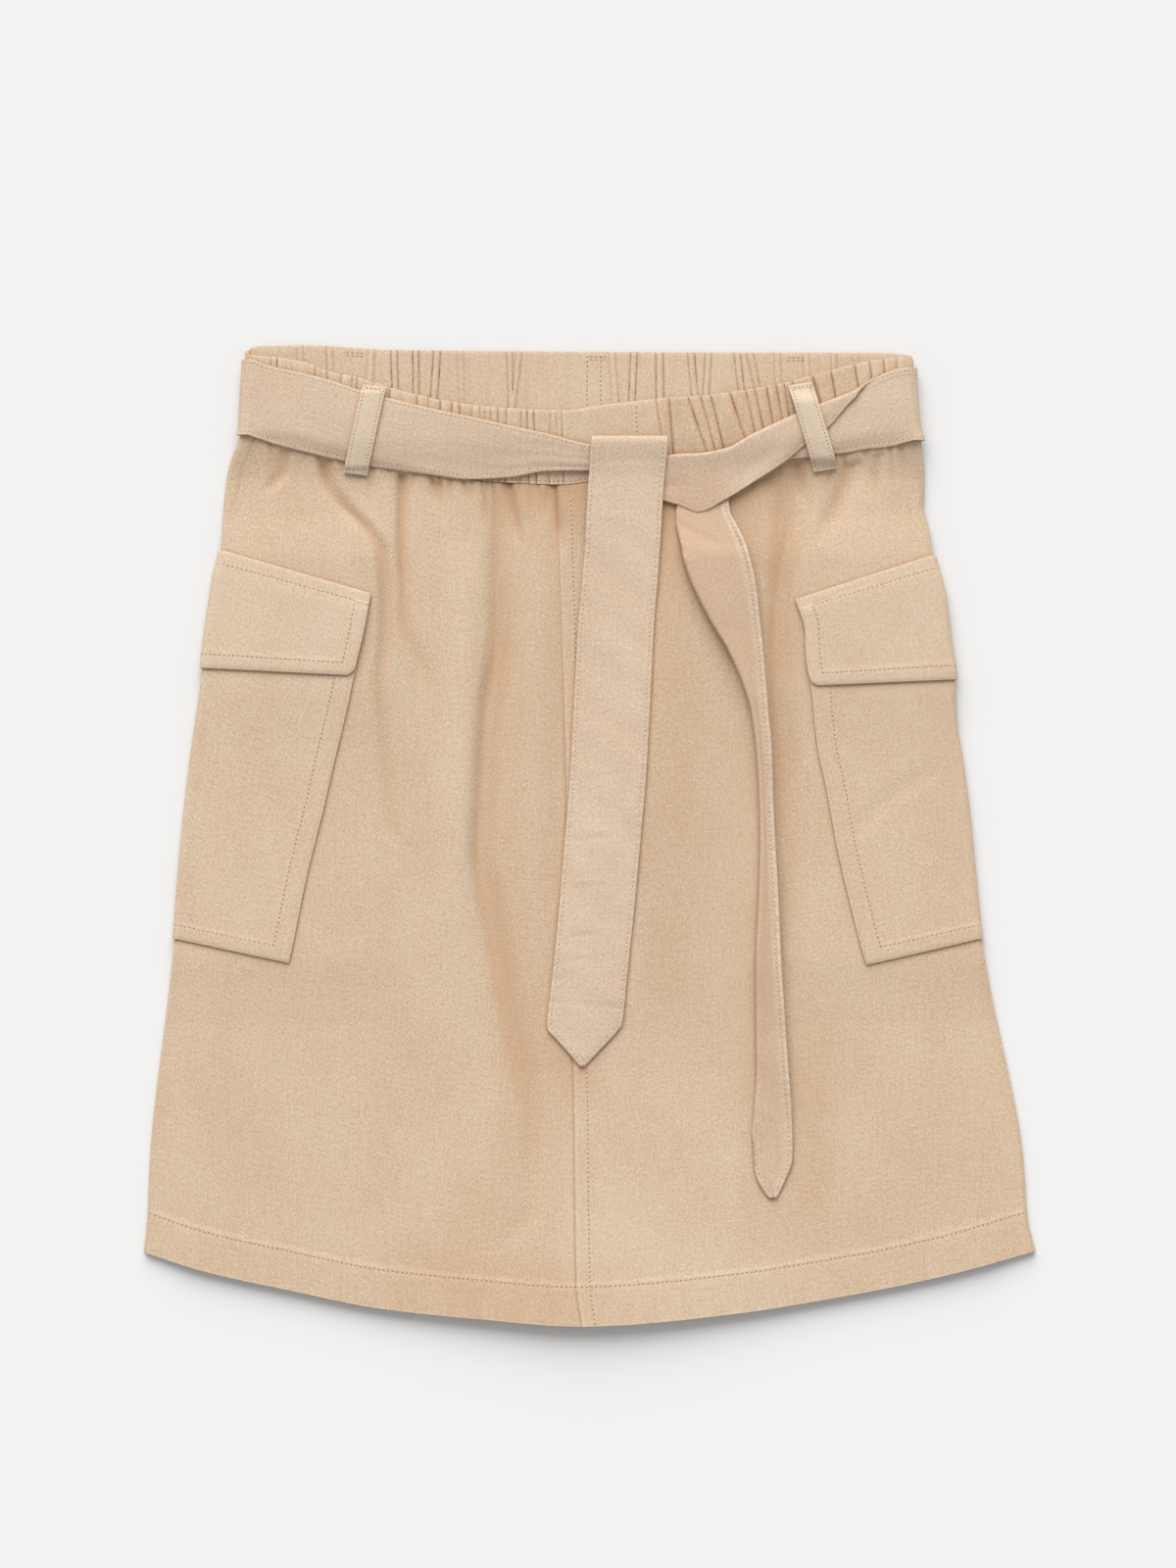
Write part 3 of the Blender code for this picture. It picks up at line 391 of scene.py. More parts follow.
# Loft of the front, at its sides and between them: y, height, height.
loft_at_side, loft_between = columns_of(
    ((205, 1.9, 1.9), (190, 1.6, 2.1), (165, 0.8, 2.4), (100, 0.3, 2.6), (-212, 0, 2)), 1, 2)
LOFT_REACH = 28.0
RISE_LIMITS = (-1.3, 7.0)
fold_lines = [(left, right, *columns_of(line, 1, 2)) for left, right, line in FOLDS.values()]

# Patches of painted shade on the front: beside the belt's ends, under the belt and at the hem. The
# window of each is given across and along the skirt, and then how deep it is. ANY is past every edge.
ANY = (300, 1)
PAINTED_SHADE_PATCHES = (
    ((22, 8, 70, 26), (-150, 170, *ANY), 0.55), ((50, 20, 112, 18), (-170, 90, *ANY), 0.12),
    ((-56, 16, -4, 12), (-200, 60, 165, 50), 0.32), ((24, 12, 108, 22), (112, 50, *ANY), 0.55),
    ((70, 14, 132, 16), (-226, 20, -85, 40), 0.25), ((-25, 20, 15, 20), (-150, 30, -108, 8), 0.50),
    ((-85, 20, -8, 14), (-300, 1, -160, 40), 0.24),
)

# Where the casing is gathered: x at its top, x at the waist seam.
GATHERS_FRONT = (
    (-162.3, -163), (-159.3, -158.4), (-151.5, -150.5), (-142.8, -143.6), (-139.8, -139.2), (-136.8, -136.9),
    (-133.8, -132), (-126.5, -127.2), (-120.8, -121.6), (-118.8, -117.4), (-110, -110.6), (-101.8, -102.6),
    (-95.8, -95), (-87.8, -88.6), (-82.3, -81), (-76, -76.6), (-69.8, -71.2), (-66.3, -65), (-59.8, -60.5),
    (-55.8, -55), (-53.4, -52.2), (-50.5, -49.6), (-46.8, -46), (-42.3, -43), (-34.8, -35.6), (-31.8, -30.8),
    (-28.5, -27), (-19.8, -20.6), (-16.8, -15.8), (-14.4, -13.2), (33.7, 39.8), (40.7, 43.5), (50.2, 62.9),
    (56.6, 66.4), (61.7, 70.9), (71.7, 83.4), (79.7, 87.7), (84.2, 92.3), (90.2, 96.8), (95.2, 102),
    (99.2, 105.2), (103.5, 110.5), (113.7, 123.8), (123.2, 129.5), (135.2, 141.5), (143, 147), (150, 152.5),
    (156.5, 157.5),
)
# Small puckers run down from the gathers into the panels, but not where the waist lies smooth under the
# belt's ends: x at the seam, x at the end, length, depth, width.
SMOOTH_FROM, SMOOTH_TO = -12.0, 60.0
chance = np.random.default_rng(7)
puckers = [(low, low + chance.uniform(-5.0, 5.0), chance.uniform(9.0, 34.0), chance.uniform(0.6, 1.9),
            chance.uniform(1.3, 3.2))
           for _, low in GATHERS_FRONT if low < SMOOTH_FROM or low > SMOOTH_TO]


def front_waist(x):
    """Upper edge of the front panels, below the casing."""
    return top_front(x) - CASING_HEIGHT - SEAM


def loft(x, y):
    inset = np.minimum(x - side_left(y), side_right(y) - x)
    return blend(loft_at_side(y), loft_between(y), ease(inset / LOFT_REACH))


def fold_rise(x, y):
    """How far loft, folds and puckers lift the front above its flat height."""
    rise = loft(x, y)
    for left, right, line, depth in fold_lines:
        off = x - line(y)
        here = (y >= line.at[0]) & (y <= line.at[-1])
        fold = FOLD_DEPTH * depth(y) * groove(off, np.where(off < 0.0, left, right))
        rise = rise + np.where(here, fold, 0.0)
    below = front_waist(x) - y
    for start, end, length, depth, width in puckers:
        along = np.clip(below / length, 0.0, 1.0)
        rise = rise - depth * (1.0 - along) * groove(x - blend(start, end, along), width * (1.0 + along))
    return np.clip(rise, *RISE_LIMITS)


def front_height(x, y):
    return under_front(x, y) + INSIDE + CAD_CLOTH / 2 + fold_rise(x, y)


WAIST_STACK = 5.1      # height of the gathered waist over the back


def over_front(x, y):
    """Top of the waist as the belt meets it, over the crests of the gathers."""
    return under_front(x, y) + WAIST_STACK


def lay_cloth(name, node, points, wall, slot, flat, wear_and_painted_light, threads, area=None, held="laid", rests_on=(),
              warp="down"):
    """A closed cloth wall round a grid of middle-surface points, rows x columns x (x, y, z).

    It replaces the node, and carries a grain map in metres along and across its warp.
    """
    down, across = points.shape[:2]
    shape = bmesh.new()
    bmesh.ops.create_grid(shape, x_segments=across - 1, y_segments=down - 1, size=1.0)
    for vertex, place in zip(shape.verts, points[::-1].reshape(-1, 3)):
        vertex.co = Vector(place) * MM
    piece = add_object(name, shape, twills[slot])
    mesh = piece.data
    run_across = np.linalg.norm(np.diff(points, axis=1), axis=2)
    if held == "gathered":
        run_across = np.broadcast_to(run_across.mean(axis=0), run_across.shape)
    run_down = np.linalg.norm(np.diff(points, axis=0), axis=2)
    u = np.concatenate((np.zeros((down, 1)), np.cumsum(run_across, axis=1)), axis=1)
    v = np.concatenate((np.zeros((1, across)), np.cumsum(run_down, axis=0)), axis=0)
    u, v = u - u[:, -1:] / 2, -v
    if warp == "across":
        u, v = v, u
    corner = np.empty(len(mesh.loops), np.int32)
    mesh.loops.foreach_get("vertex_index", corner)
    grain = np.stack((u[::-1].ravel(), v[::-1].ravel()), axis=1) * MM
    mesh.uv_layers.new(name="grain").data.foreach_set("uv", grain[corner].astype(np.float32).ravel())
    # The tone map holds wear together with painted shade and painted highlights.
    wear_and_light_layer = mesh.attributes.new("wear_and_painted_light", "FLOAT", "POINT")
    if wear_and_painted_light is not None:
        wear_and_light_layer.data.foreach_set("value", wear_and_painted_light[::-1].astype(np.float32).ravel())
    mesh.shade_smooth()
    solid = piece.modifiers.new("wall", "SOLIDIFY")
    solid.thickness = wall * MM
    solid.offset = 0.0
    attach(piece, "root")
    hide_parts(node)


def skin(points, offset):
    """The grid moved off its middle surface, to the side that faces up where the grid lies flat."""
    normal = np.cross(np.gradient(points, axis=0), np.gradient(points, axis=1))
    normal /= np.maximum(np.linalg.norm(normal, axis=2, keepdims=True), 1e-9)
    return points + normal * offset


def steps(start, end, size):
    """Evenly spaced places from start to end, about size apart, both included."""
    return np.linspace(start, end, max(2, int(round(abs(end - start) / size)) + 1))


ON_TOP = 0.02                   # how far a row of stitches stands off its cloth
STITCH = (1.7, 0.52, 0.40)      # length, width and height of a stitch
DENT_SHADE = (1.05, 0.62, 0.14)       # of the dark mark of painted shade that stands for the dent a needle leaves after it
TACK = (0.52, 2.10, 1.10)       # of a thread in a bar tack
TACK_PITCH = 0.42


def sew(name, lines, pitch=2.4, stitch=STITCH, hole=1.0, tacks=()):
    """Threads of stitched rows: a short thread for each stitch, with a dark mark of painted shade for the
    needle dent after it.

    A tack is a short line of close threads that lie across it.
    """
    shape = bmesh.new()

    def knot(place, turn, slant, sizes):
        matrix = Matrix.Translation(place) @ turn @ Matrix.Rotation(slant, 4, "Z")
        matrix = matrix @ Matrix.Diagonal((*(size / 2 * MM for size in sizes), 1.0))
        return bmesh.ops.create_icosphere(shape, subdivisions=1, radius=1.0, matrix=matrix)["verts"]

    for line in lines:
        along = np.concatenate(([0.0], np.cumsum(np.linalg.norm(np.diff(line, axis=0), axis=1))))
        count = max(1, int(along[-1] / pitch))
        for i in range(2 * count):
            middle = (i + 1) * along[-1] / count / 2
            sizes = (DENT_SHADE[0] * hole, DENT_SHADE[1] * hole, DENT_SHADE[2]) if i % 2 else stitch
            ends = middle + np.array((-0.5, 0.5)) * sizes[0]
            start, end = map(Vector, zip(*(np.interp(ends, along, axis) for axis in line.T)))
            turn = (end - start).to_track_quat("X", "Z").to_matrix().to_4x4()
            made = knot((start + end) / 2 * MM, turn, 0.10, sizes)
            for face in {face for vertex in made for face in vertex.link_faces}:
                face.material_index = i % 2
    for start, end in tacks:
        start, end = Vector(start) * MM, Vector(end) * MM
        turn = (end - start).to_track_quat("X", "Z").to_matrix().to_4x4()
        for share in steps(0.0, 1.0, TACK_PITCH * MM / (end - start).length):
            knot(start.lerp(end, share), turn, 0.25, TACK)
    piece = add_object(name, shape, thread, needle_shade)
    piece.data.shade_smooth()
    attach(piece, "root")
    return piece


EDGE = np.array([0.0, 0.3, 0.7, 1.3])            # close rows beside an edge
seam_left, seam_right = columns_of(
    ((205, 6.5, 1), (182, 6, 1), (168, 3.5, 1), (155, 1, 1), (-212, 0.8, 0.8)), 1, 2)
seam_at = {"left": seam_left, "right": seam_right}


def side_seam(side, y):
    """x of the front panel's edge at the side seam."""
    outward = OUTWARD[side]
    fold = fold_at[side](y)
    radius = (front_height(fold - outward, y) - back_height(fold - outward, y)) / 2
    return fold - outward * (radius + seam_at[side](y) - 1.2)


def stitch_rows(line):
    """Distances from an edge, close together at the edge and on both sides of a stitched line."""
    near = np.array([-1.1, -0.7, -0.4, 0.0, 0.4, 0.7, 1.1]) + line
    between = steps(EDGE[-1] + 1.2, near[0] - 0.8, 2.0) if line > 4.5 else np.array([])
    return np.concatenate((EDGE[EDGE < near[0] - 0.3], between, near))


PANEL_COLUMNS, PANEL_ROWS, BACK_COLUMNS = 116, 214, 62


def front_panel(side):
    outward = OUTWARD[side]
    from_centre, from_hem = stitch_rows(TOPSTITCH), stitch_rows(HEM)
    across, down = steps(0.0, 1.0, 1.0 / PANEL_COLUMNS), steps(0.0, 1.0, 1.0 / PANEL_ROWS)
    share = np.concatenate((np.zeros(len(from_centre)), across, np.ones(len(EDGE))))
    offset = np.concatenate((from_centre, blend(from_centre[-1] + 1.5, -2.0, across), -EDGE[::-1]))
    low_share = np.concatenate((np.zeros(len(EDGE)), down, np.ones(len(from_hem))))
    drop = np.concatenate((-EDGE, blend(-EDGE[-1] - 1.0, from_hem[-1] + 1.2, down), from_hem[::-1]))

    def place(y):
        return blend(centre_front(y), side_seam(side, y), share) + outward * offset

    # A rim's x and y depend on each other, and a few rounds settle them.
    waist_y, hem_y = np.full(len(share), 200.0), np.full(len(share), -230.0)
    for _ in range(8):
        waist_y, hem_y = front_waist(place(waist_y)), hem_front(place(hem_y))
    y = blend(waist_y, hem_y, low_share[:, None]) + drop[:, None]
    x = place(y)
    from_seam, above_hem, below_waist = np.abs(x - centre_front(y)), y - hem_y, waist_y - y
    z = front_height(x, y) + 0.35 * fall(above_hem - HEM - 0.6, 1.6) - 0.16 * groove(above_hem - HEM, 0.9)
    ripple = 0.12 * np.sin(0.42 * x + 1.3 * np.sin(0.071 * x)) + 0.05 * np.sin(0.95 * x + 0.6 * above_hem)
    z += ripple * fall(above_hem - HEM, 8.0) * ease(above_hem / 3.0)
    low_seam = 1.0 - 0.6 * ease((y - 40.0) / 60.0)
    if side == "right":
        z += 0.15 * fall(from_seam - TOPSTITCH - 0.6, 2.2) - 0.10 * groove(from_seam - TOPSTITCH, 0.9)
        z -= 0.35 * low_seam * fall(from_seam, 1.1)
    else:
        z -= 0.60 * low_seam * fall(from_seam, 1.6)
        x = np.where(from_seam < 0.2, x + 0.5, x)
    z += 0.10 * fall(np.abs(x - side_seam(side, y)), 3.0)

    # Crests are painted paler, partly as wash wear and partly as painted highlight, and valleys, the cloth
    # below the gathered waist and the hem's middle get painted shade.
    relief = fold_rise(x, y) - loft(x, y)
    wear_and_painted_light = 0.26 * np.clip(relief, -2.2, 0.0) + 0.10 * np.clip(relief, 0.0, 2.0)
    for wide, high, depth in PAINTED_SHADE_PATCHES:
        wear_and_painted_light -= depth * window(x, *wide) * window(y, *high)
    wear_and_painted_light -= 0.35 * fall(below_waist, 26.0) * window(x, -110, 60, 150, 40)
    wear_and_painted_light -= 0.60 * fall(below_waist - 8.0, 36.0) * window(x, -58, 22, 84, 14)
    wear_and_painted_light -= 0.38 * fall(above_hem - 22.0, 22.0) * window(x, -125, 40, 50, 60)
    # Both edges of the hem turning and the seam are rubbed pale; painted shade darkens the rims, the lines of
    # their stitches and the seam's ditch.
    wear_and_painted_light += rim(above_hem, 0.5, 1.2) - 0.45 * groove(above_hem - HEM, 0.9)
    wear_and_painted_light += 0.12 * groove(above_hem - HEM + 1.6, 1.5) + 0.10 * groove(above_hem - HEM - 2.2, 2.0)
    wear_and_painted_light -= 0.4 * low_seam * groove(from_seam, 0.9)
    if side == "right":
        wear_and_painted_light += 0.35 * groove(from_seam - 1.4, 1.2) - 0.12 * groove(from_seam - TOPSTITCH, 0.9)
    points = np.stack((x, y, z), axis=2)
    if side == "left":
        points, wear_and_painted_light = points[:, ::-1], wear_and_painted_light[:, ::-1]
    face = skin(points, CLOTH / 2 + ON_TOP)
    rows = [face[nearest(above_hem[:, 3], HEM), 2:-2]]
    if side == "right":
        rows.append(face[6:-3, nearest(from_centre, TOPSTITCH)])
    threads = sew("threads_front_" + side, rows)
    lay_cloth("cloth_front_" + side, "front_" + side, points, CLOTH, "skirt_twill", (0.225, 0.468), wear_and_painted_light,
              threads, area=0.0890, rests_on=["back_" + side])


def wrapped(side, y, back, front, back_z, front_z, fold_x, arc=12):
    """Section round a side fold: places on the back, the arc of the fold, places on the front.

    back and front list distances from the fold's arc. The functions give heights.
    """
    outward = OUTWARD[side]
    radius = (front_z(fold_x - outward, y) - back_z(fold_x - outward, y)) / 2
    centre = fold_x - outward * radius
    low, high = back_z(centre, y), front_z(centre, y)
    radius = (high - low) / 2
    turn = np.pi * np.arange(1, arc) / arc
    back_x, front_x = centre - outward * np.asarray(back), centre - outward * np.asarray(front)
    x = np.concatenate((back_x, centre + outward * radius * np.sin(turn), front_x))
    z = np.concatenate((back_z(back_x, y), (low + high) / 2 - radius * np.cos(turn), front_z(front_x, y)))
    return np.stack((x, np.full(len(x), float(y)), z), axis=1)


BACK_TOP, BACK_LOW = 207.0, -212.8      # first and last row, at the side fold
LEVEL_TOP, LEVEL_LOW = 190.0, -150.0    # rows are level between these and follow the rims beyond them


def back_panel(side):
    outward = OUTWARD[side]
    hem_zone, seam_zone = stitch_rows(HEM), stitch_rows(TOPSTITCH)
    levels = np.concatenate((BACK_TOP - EDGE, steps(204.0, -189.0, 2.6), BACK_LOW + hem_zone[::-1]))
    inner = CENTRE_BACK + outward * (seam_zone + SEAM / 2)
    rows = []
    for y in levels:
        arc_x = fold_at[side](y) - outward * 2.0
        across = steps(0.0, 1.0, 1.0 / BACK_COLUMNS)
        places = np.concatenate((inner, blend(inner[-1] + outward * 1.5, arc_x, across)))
        to_seam = np.array([0.05, 0.35, 0.75, 1.0]) * seam_at[side](y)
        section = wrapped(side, y, np.abs(arc_x - places), to_seam, back_height, front_height,
                          fold_at[side](y))
        x, on_back = section[:, 0], np.arange(len(section)) < len(places)
        if y > LEVEL_TOP:
            top = np.where(on_back, waist_back(x) - SEAM, np.minimum(BACK_TOP, front_waist(x)))
            section[:, 1] = blend(LEVEL_TOP, top, (y - LEVEL_TOP) / (BACK_TOP - LEVEL_TOP))
        if y < LEVEL_LOW:
            above, zone = y - BACK_LOW, hem_zone[-1]
            low = np.where(on_back, hem_back(x), BACK_LOW)
            section[:, 1] = low + above if above <= zone else blend(
                low + zone, LEVEL_LOW, (above - zone) / (LEVEL_LOW - BACK_LOW - zone))
        section[-2:, 2] -= (0.25, 0.55)
        rows.append(section)
    points = np.array(rows)
    face = skin(points, -outward * CLOTH / 2)
    hem_row = len(levels) - 1 - nearest(hem_zone, HEM)
    threads = sew("threads_back_" + side, [face[hem_row, 3:], face[4:-3, nearest(seam_zone, TOPSTITCH)]])
    points = points if side == "right" else points[:, ::-1]
    lay_cloth("cloth_back_" + side, "back_" + side, points, CLOTH, "skirt_twill", (0.245, 0.450), None,
              threads, area=0.0960)


for side in ("left", "right"):
    front_panel(side)
    back_panel(side)

# ---- Waistband -----------------------------------------------------------------------------------
# A casing of doubled twill over wide elastic, which gathers it into sharp uneven tucks. A stretch in
# the middle of the front is left flat, and the elastic is held there by an upright row of stitches.
CASING = 1.8            # its wall, with both layers and the elastic
WAVE_LIMIT = 1.3        # height of the fullest gather in front
BACK_CASING_Z = 3.7     # middle of the back's wall
BACK_CASING_LIFT = 0.6  # how much the back loops raise it
CASING_STITCH = 1.6     # bottom stitches above the waist seam
ELASTIC_STITCH = (23.7, 24.7)       # x of the upright row, at its top and at the seam
BACK_SEAM_STITCHES = (-1.3, 5.7)    # x of the rows beside the centre back seam
# x of the middle of each loop on the back.
BACK_LOOPS = {"left": -121.0, "centre": 3.2, "right": 104.2}
CASING_TOP = 245.0      # y of its upper edge at the side folds
CASING_INSET = 2.6      # its flat stretch ends this far inside them
CASING_PITCH = 0.56     # between the columns of its grid
# Upper edge of the back: x, y.
top_back = Curve(((-175.6, 247.8), (-172, 249.4), (-168, 249.9), (-145, 250.3), (-101, 247.9), (69, 246.6),
                  (150, 246.4), (163, 245.2)))
# Gathers of the back casing: x.
GATHERS_BACK = (
    -167, -162, -158.5, -151, -142, -131.5, -112.5, -106, -99.3, -88.5, -79, -71, -61,
    -51, -40.5, -31, -21, -11, 13, 22, 36, 44, 54, 60, 69, 78, 86, 96, 112,
    118, 125.5, 134, 143, 152,
)
# Narrow pinched tucks on the inside of the back: x at the top, x at the seam, half width, height.
TUCKS_BACK = (
    (-148, -146, 1.3, 0.4), (-132.8, -131.3, 1.5, 0.7), (-111.3, -113.3, 1.5, 0.6), (-99.8, -98.8, 1.3, 0.8),
    (-88.8, -88.3, 1.2, 0.7), (-77.8, -80.3, 1.5, 0.8), (-66, -65, 1.2, 0.3), (-40.8, -39.8, 1.2, 0.6),
    (-35.8, -40.3, 1.2, 0.5), (11.2, 14.2, 1.4, 0.8), (22.7, 21.2, 1.3, 0.8), (35.7, 36.2, 1.6, 0.8),
    (51.7, 55.2, 1.4, 0.7), (60.7, 58.7, 1.3, 0.7), (75.2, 79.7, 1.3, 0.7), (81.7, 89.7, 1.3, 0.6),
    (95.7, 97.2, 1.3, 0.8), (110.2, 112.7, 1.4, 0.6), (124.7, 126.2, 1.2, 0.5), (136, 137, 1.2, 0.4),
)


def casing_front_z(x, y):
    return under_front(x, y) + 0.5 + CASING / 2 + WAVE_LIMIT


def casing_edges(x, share):
    """y of the casing on the back and on the front, at a share of its height from the top."""
    return blend(top_back(x), waist_back(x), share), top_front(x) - CASING_HEIGHT * share


def casing_arc(side, share, turns):
    """Part of the casing's round side fold, from the back (0) to the front (1)."""
    outward = OUTWARD[side]
    y = CASING_TOP - CASING_HEIGHT * share
    edge = fold_at[side](y)
    radius = (casing_front_z(edge, y) - BACK_CASING_Z) / 2
    x = edge - outward * radius + outward * radius * np.sin(np.pi * turns)
    z = BACK_CASING_Z + radius * (1.0 - np.cos(np.pi * turns))
    back_y, front_y = casing_edges(x, share)
    return np.stack((x, blend(back_y, front_y, turns), z), axis=1)


def crowns(x, lines, full, pinch):
    """The cloth between gather lines: each crown stands up beside one line and falls softly to the next.

    full is each crown's height, pinch how low the cloth drops at each line as a share of it.
    """
    at = np.clip(np.searchsorted(lines, x), 1, len(lines) - 1)
    left, right = lines[at - 1], lines[at]
    steep, gentle = np.minimum(0.34 * (right - left), 1.7), np.minimum(0.66 * (right - left), 4.2)
    from_left = np.sin(np.pi / 2 * np.clip((x - left) / steep, 0.0, 1.0)) ** 0.8
    from_right = np.sin(np.pi / 2 * np.clip((right - x) / gentle, 0.0, 1.0)) ** 0.7
    rise = np.minimum(blend(-pinch[at - 1], 1.0, from_left), blend(-pinch[at], 1.0, from_right))
    inside = (x > lines[0]) & (x < lines[-1])
    return np.where(inside, full[at] * rise, 0.0)


def casing(place, arc_turns):
    """Points and tone of one half of the casing, wear and painted light together, and the share of its height
    that each row is at.

    place gives y, z and that tone for a row of x at a share of the height.
    """
    drops = np.concatenate((EDGE, steps(2.4, 34.6, 1.5), CASING_HEIGHT - stitch_rows(CASING_STITCH)[::-1]))
    shares = drops / CASING_HEIGHT
    top_row = steps(side_left(CASING_TOP) + CASING_INSET, side_right(CASING_TOP) - CASING_INSET, CASING_PITCH)
    across = np.linspace(0.0, 1.0, len(top_row))
    rows, wear_and_painted_light_rows = [], []
    for share in shares:
        y = CASING_TOP - CASING_HEIGHT * share
        x = blend(side_left(y) + CASING_INSET, side_right(y) - CASING_INSET, across)
        edge_y, z, wear_and_painted_light = place(x, share)
        left, right = casing_arc("left", share, arc_turns), casing_arc("right", share, arc_turns[::-1])
        rows.append(np.concatenate((left, np.stack((x, edge_y, z), axis=1), right)))
        wear_and_painted_light_rows.append(np.pad(wear_and_painted_light, len(left)))
    return np.array(rows), np.array(wear_and_painted_light_rows), shares


# Each gather's crown grows with the gap to the one before it. The flat stretch keeps a low, even one, and the
# gathers right of it stand fuller.
gathers_top, gathers_low = np.array(GATHERS_FRONT).T
right_half = gathers_low > 0.0
gap_size = np.diff(gathers_low, prepend=gathers_low[0] - 5.0)
front_full = 0.20 * gap_size * chance.uniform(0.5, 1.3, len(gap_size))
front_full = np.clip(front_full, np.where(right_half, 0.75, 0.45), WAVE_LIMIT)
front_full[gap_size > 20.0] = 0.30
front_pinch = np.where(right_half, 1.0, np.minimum(chance.uniform(0.0, 1.4, len(gap_size)), 1.0))
gap_size = np.diff(GATHERS_BACK, prepend=GATHERS_BACK[0] - 5.0)
back_full = np.minimum(0.20, 0.025 * gap_size * chance.uniform(0.3, 1.3, len(gap_size)))
back_pinch = np.ones(len(gap_size))


def front_casing_place(x, share):
    edge_y = casing_edges(x, share)[1]
    lines = blend(gathers_top, gathers_low, share)
    wave = crowns(x, lines, front_full, front_pinch) * (0.85 + 0.15 * np.sin(5.0 * share + 0.35 * x))
    off = x[:, None] - lines
    line = np.argmin(np.abs(off), axis=1)
    off, pinch = off[np.arange(len(x)), line], front_pinch[line]
    from_top, from_stitch = share * CASING_HEIGHT, (1.0 - share) * CASING_HEIGHT - CASING_STITCH
    z = casing_front_z(x, edge_y) + wave - 0.18 * groove(from_stitch, 0.9) - 0.25 * fall(from_top, 1.3)
    # Painted shade in the line of each gather and a painted highlight on the crown beside it; the top edge is
    # painted paler, partly as wear and partly as painted highlight; the stitch line and the right part by the
    # folded belt get painted shade.
    wear_and_painted_light = 0.12 - (0.4 + 0.6 * pinch) * groove(off, 0.9) + 0.35 * pinch * groove(off - 1.5, 1.0)
    wear_and_painted_light += 0.5 * groove(from_top, 1.4) - 0.3 * groove(from_stitch, 0.9) - 0.45 * window(x, 30, 12, 150, 30)
    return edge_y + 0.35 * wave * (1.0 - ease(share * 12.0)), z, wear_and_painted_light


def from_back_loop(x):
    """Distance from the middle of the nearest loop on the back."""
    return np.min([np.abs(x - loop) for loop in BACK_LOOPS.values()], axis=0)


def back_casing_place(x, share):
    edge_y = casing_edges(x, share)[0]
    wave = crowns(x, np.array(GATHERS_BACK), back_full, back_pinch)
    tucks = np.zeros(len(x))
    for top, low, width, height in TUCKS_BACK:
        off = x - blend(top, low, share)
        tucks += 1.5 * height * groove(off, width) - 0.5 * height * groove(np.abs(off) - width - 0.3, 0.8)
    over_loop = fall(from_back_loop(x) - 8.0, 6.0)
    from_top = share * CASING_HEIGHT
    z = BACK_CASING_Z + BACK_CASING_LIFT * over_loop + (wave + tucks) * (1.0 - 0.7 * over_loop)
    z = z - 0.25 * fall(from_top, 1.3)
    # Painted shade in the lines beside each tuck, with a painted highlight on the tuck; the top edge is
    # painted paler, partly as wear and partly as painted highlight.
    wear_and_painted_light = 0.12 - 0.75 * np.clip(-tucks * 5.0, 0.0, 1.0) + 0.2 * np.clip(tucks, 0.0, 1.0)
    return edge_y + 0.25 * wave * (1.0 - ease(share * 12.0)), z, wear_and_painted_light + 0.2 * groove(from_top, 1.4)


SIDE_COLUMNS = 8        # the first columns of a row, which go round its side fold


def upright(face, shares, x_top, x_low, margin=3):
    """A line of points down the casing, at x_top at its top and x_low at its seam."""
    line = []
    for row, share in zip(face[margin:-1], shares[margin:-1]):
        x = blend(x_top, x_low, share)
        _, y, z = row[SIDE_COLUMNS + nearest(row[SIDE_COLUMNS:, 0], x)]
        line.append((x, y, z))
    return np.array(line)


points, wear_and_painted_light, shares = casing(front_casing_place, np.linspace(0.52, 0.95, 7))
face = skin(points, CASING / 2 + ON_TOP)
stitch_row = len(shares) - 1 - nearest(stitch_rows(CASING_STITCH), CASING_STITCH)
rows = [face[stitch_row], upright(face, shares, *ELASTIC_STITCH)]
threads = sew("threads_casing_front", rows)
lay_cloth("casing_front", "waistband_front", points, CASING, "skirt_twill", (0.0375, 0.430), wear_and_painted_light, threads,
          area=0.0155, held="gathered", rests_on=["waistband_back"])

points, wear_and_painted_light, shares = casing(back_casing_place, np.linspace(0.48, 0.05, 7))
face = skin(points, CASING / 2 + ON_TOP)
rows = [upright(face, shares, x, x, 2) for x in BACK_SEAM_STITCHES]
for loop in BACK_LOOPS.values():
    for drop in (3.0, 4.2):
        x = steps(loop - 5.0, loop + 5.0, 1.0)
        row = face[nearest(shares * CASING_HEIGHT, drop)]
        row = row[np.argsort(row[:, 0])]
        y, z = (np.interp(x, row[:, 0], row[:, k]) for k in (1, 2))
        rows.append(np.stack((x, y, z), axis=1))
threads = sew("threads_casing_back", rows)
lay_cloth("casing_back", "waistband_back", points, CASING, "skirt_twill", (0.0385, 0.420), wear_and_painted_light, threads,
          area=0.0155, held="gathered", rests_on=["belt_back"])

# ---- Cargo pockets -------------------------------------------------------------------------------
# Each pocket is a bag of one layer sewn on round the side fold, with a doubled flap above it. Bag and
# flap are turned under at their edges and stitched well inside them, with a bar tack at each flap's inner top
# corner.
POCKET_STEP = 1.25                      # height of a bag over the front
BAG_STITCH, BAG_LOW_STITCH = 9.3, 7.0   # stitches inside the bag's inner and lower edges
FLAP_STITCH = 7.0
FLAP_CORNER = 5.0                       # radius of its lower corner
PAST_BAG = 3.0                          # how much further the flap reaches on the back
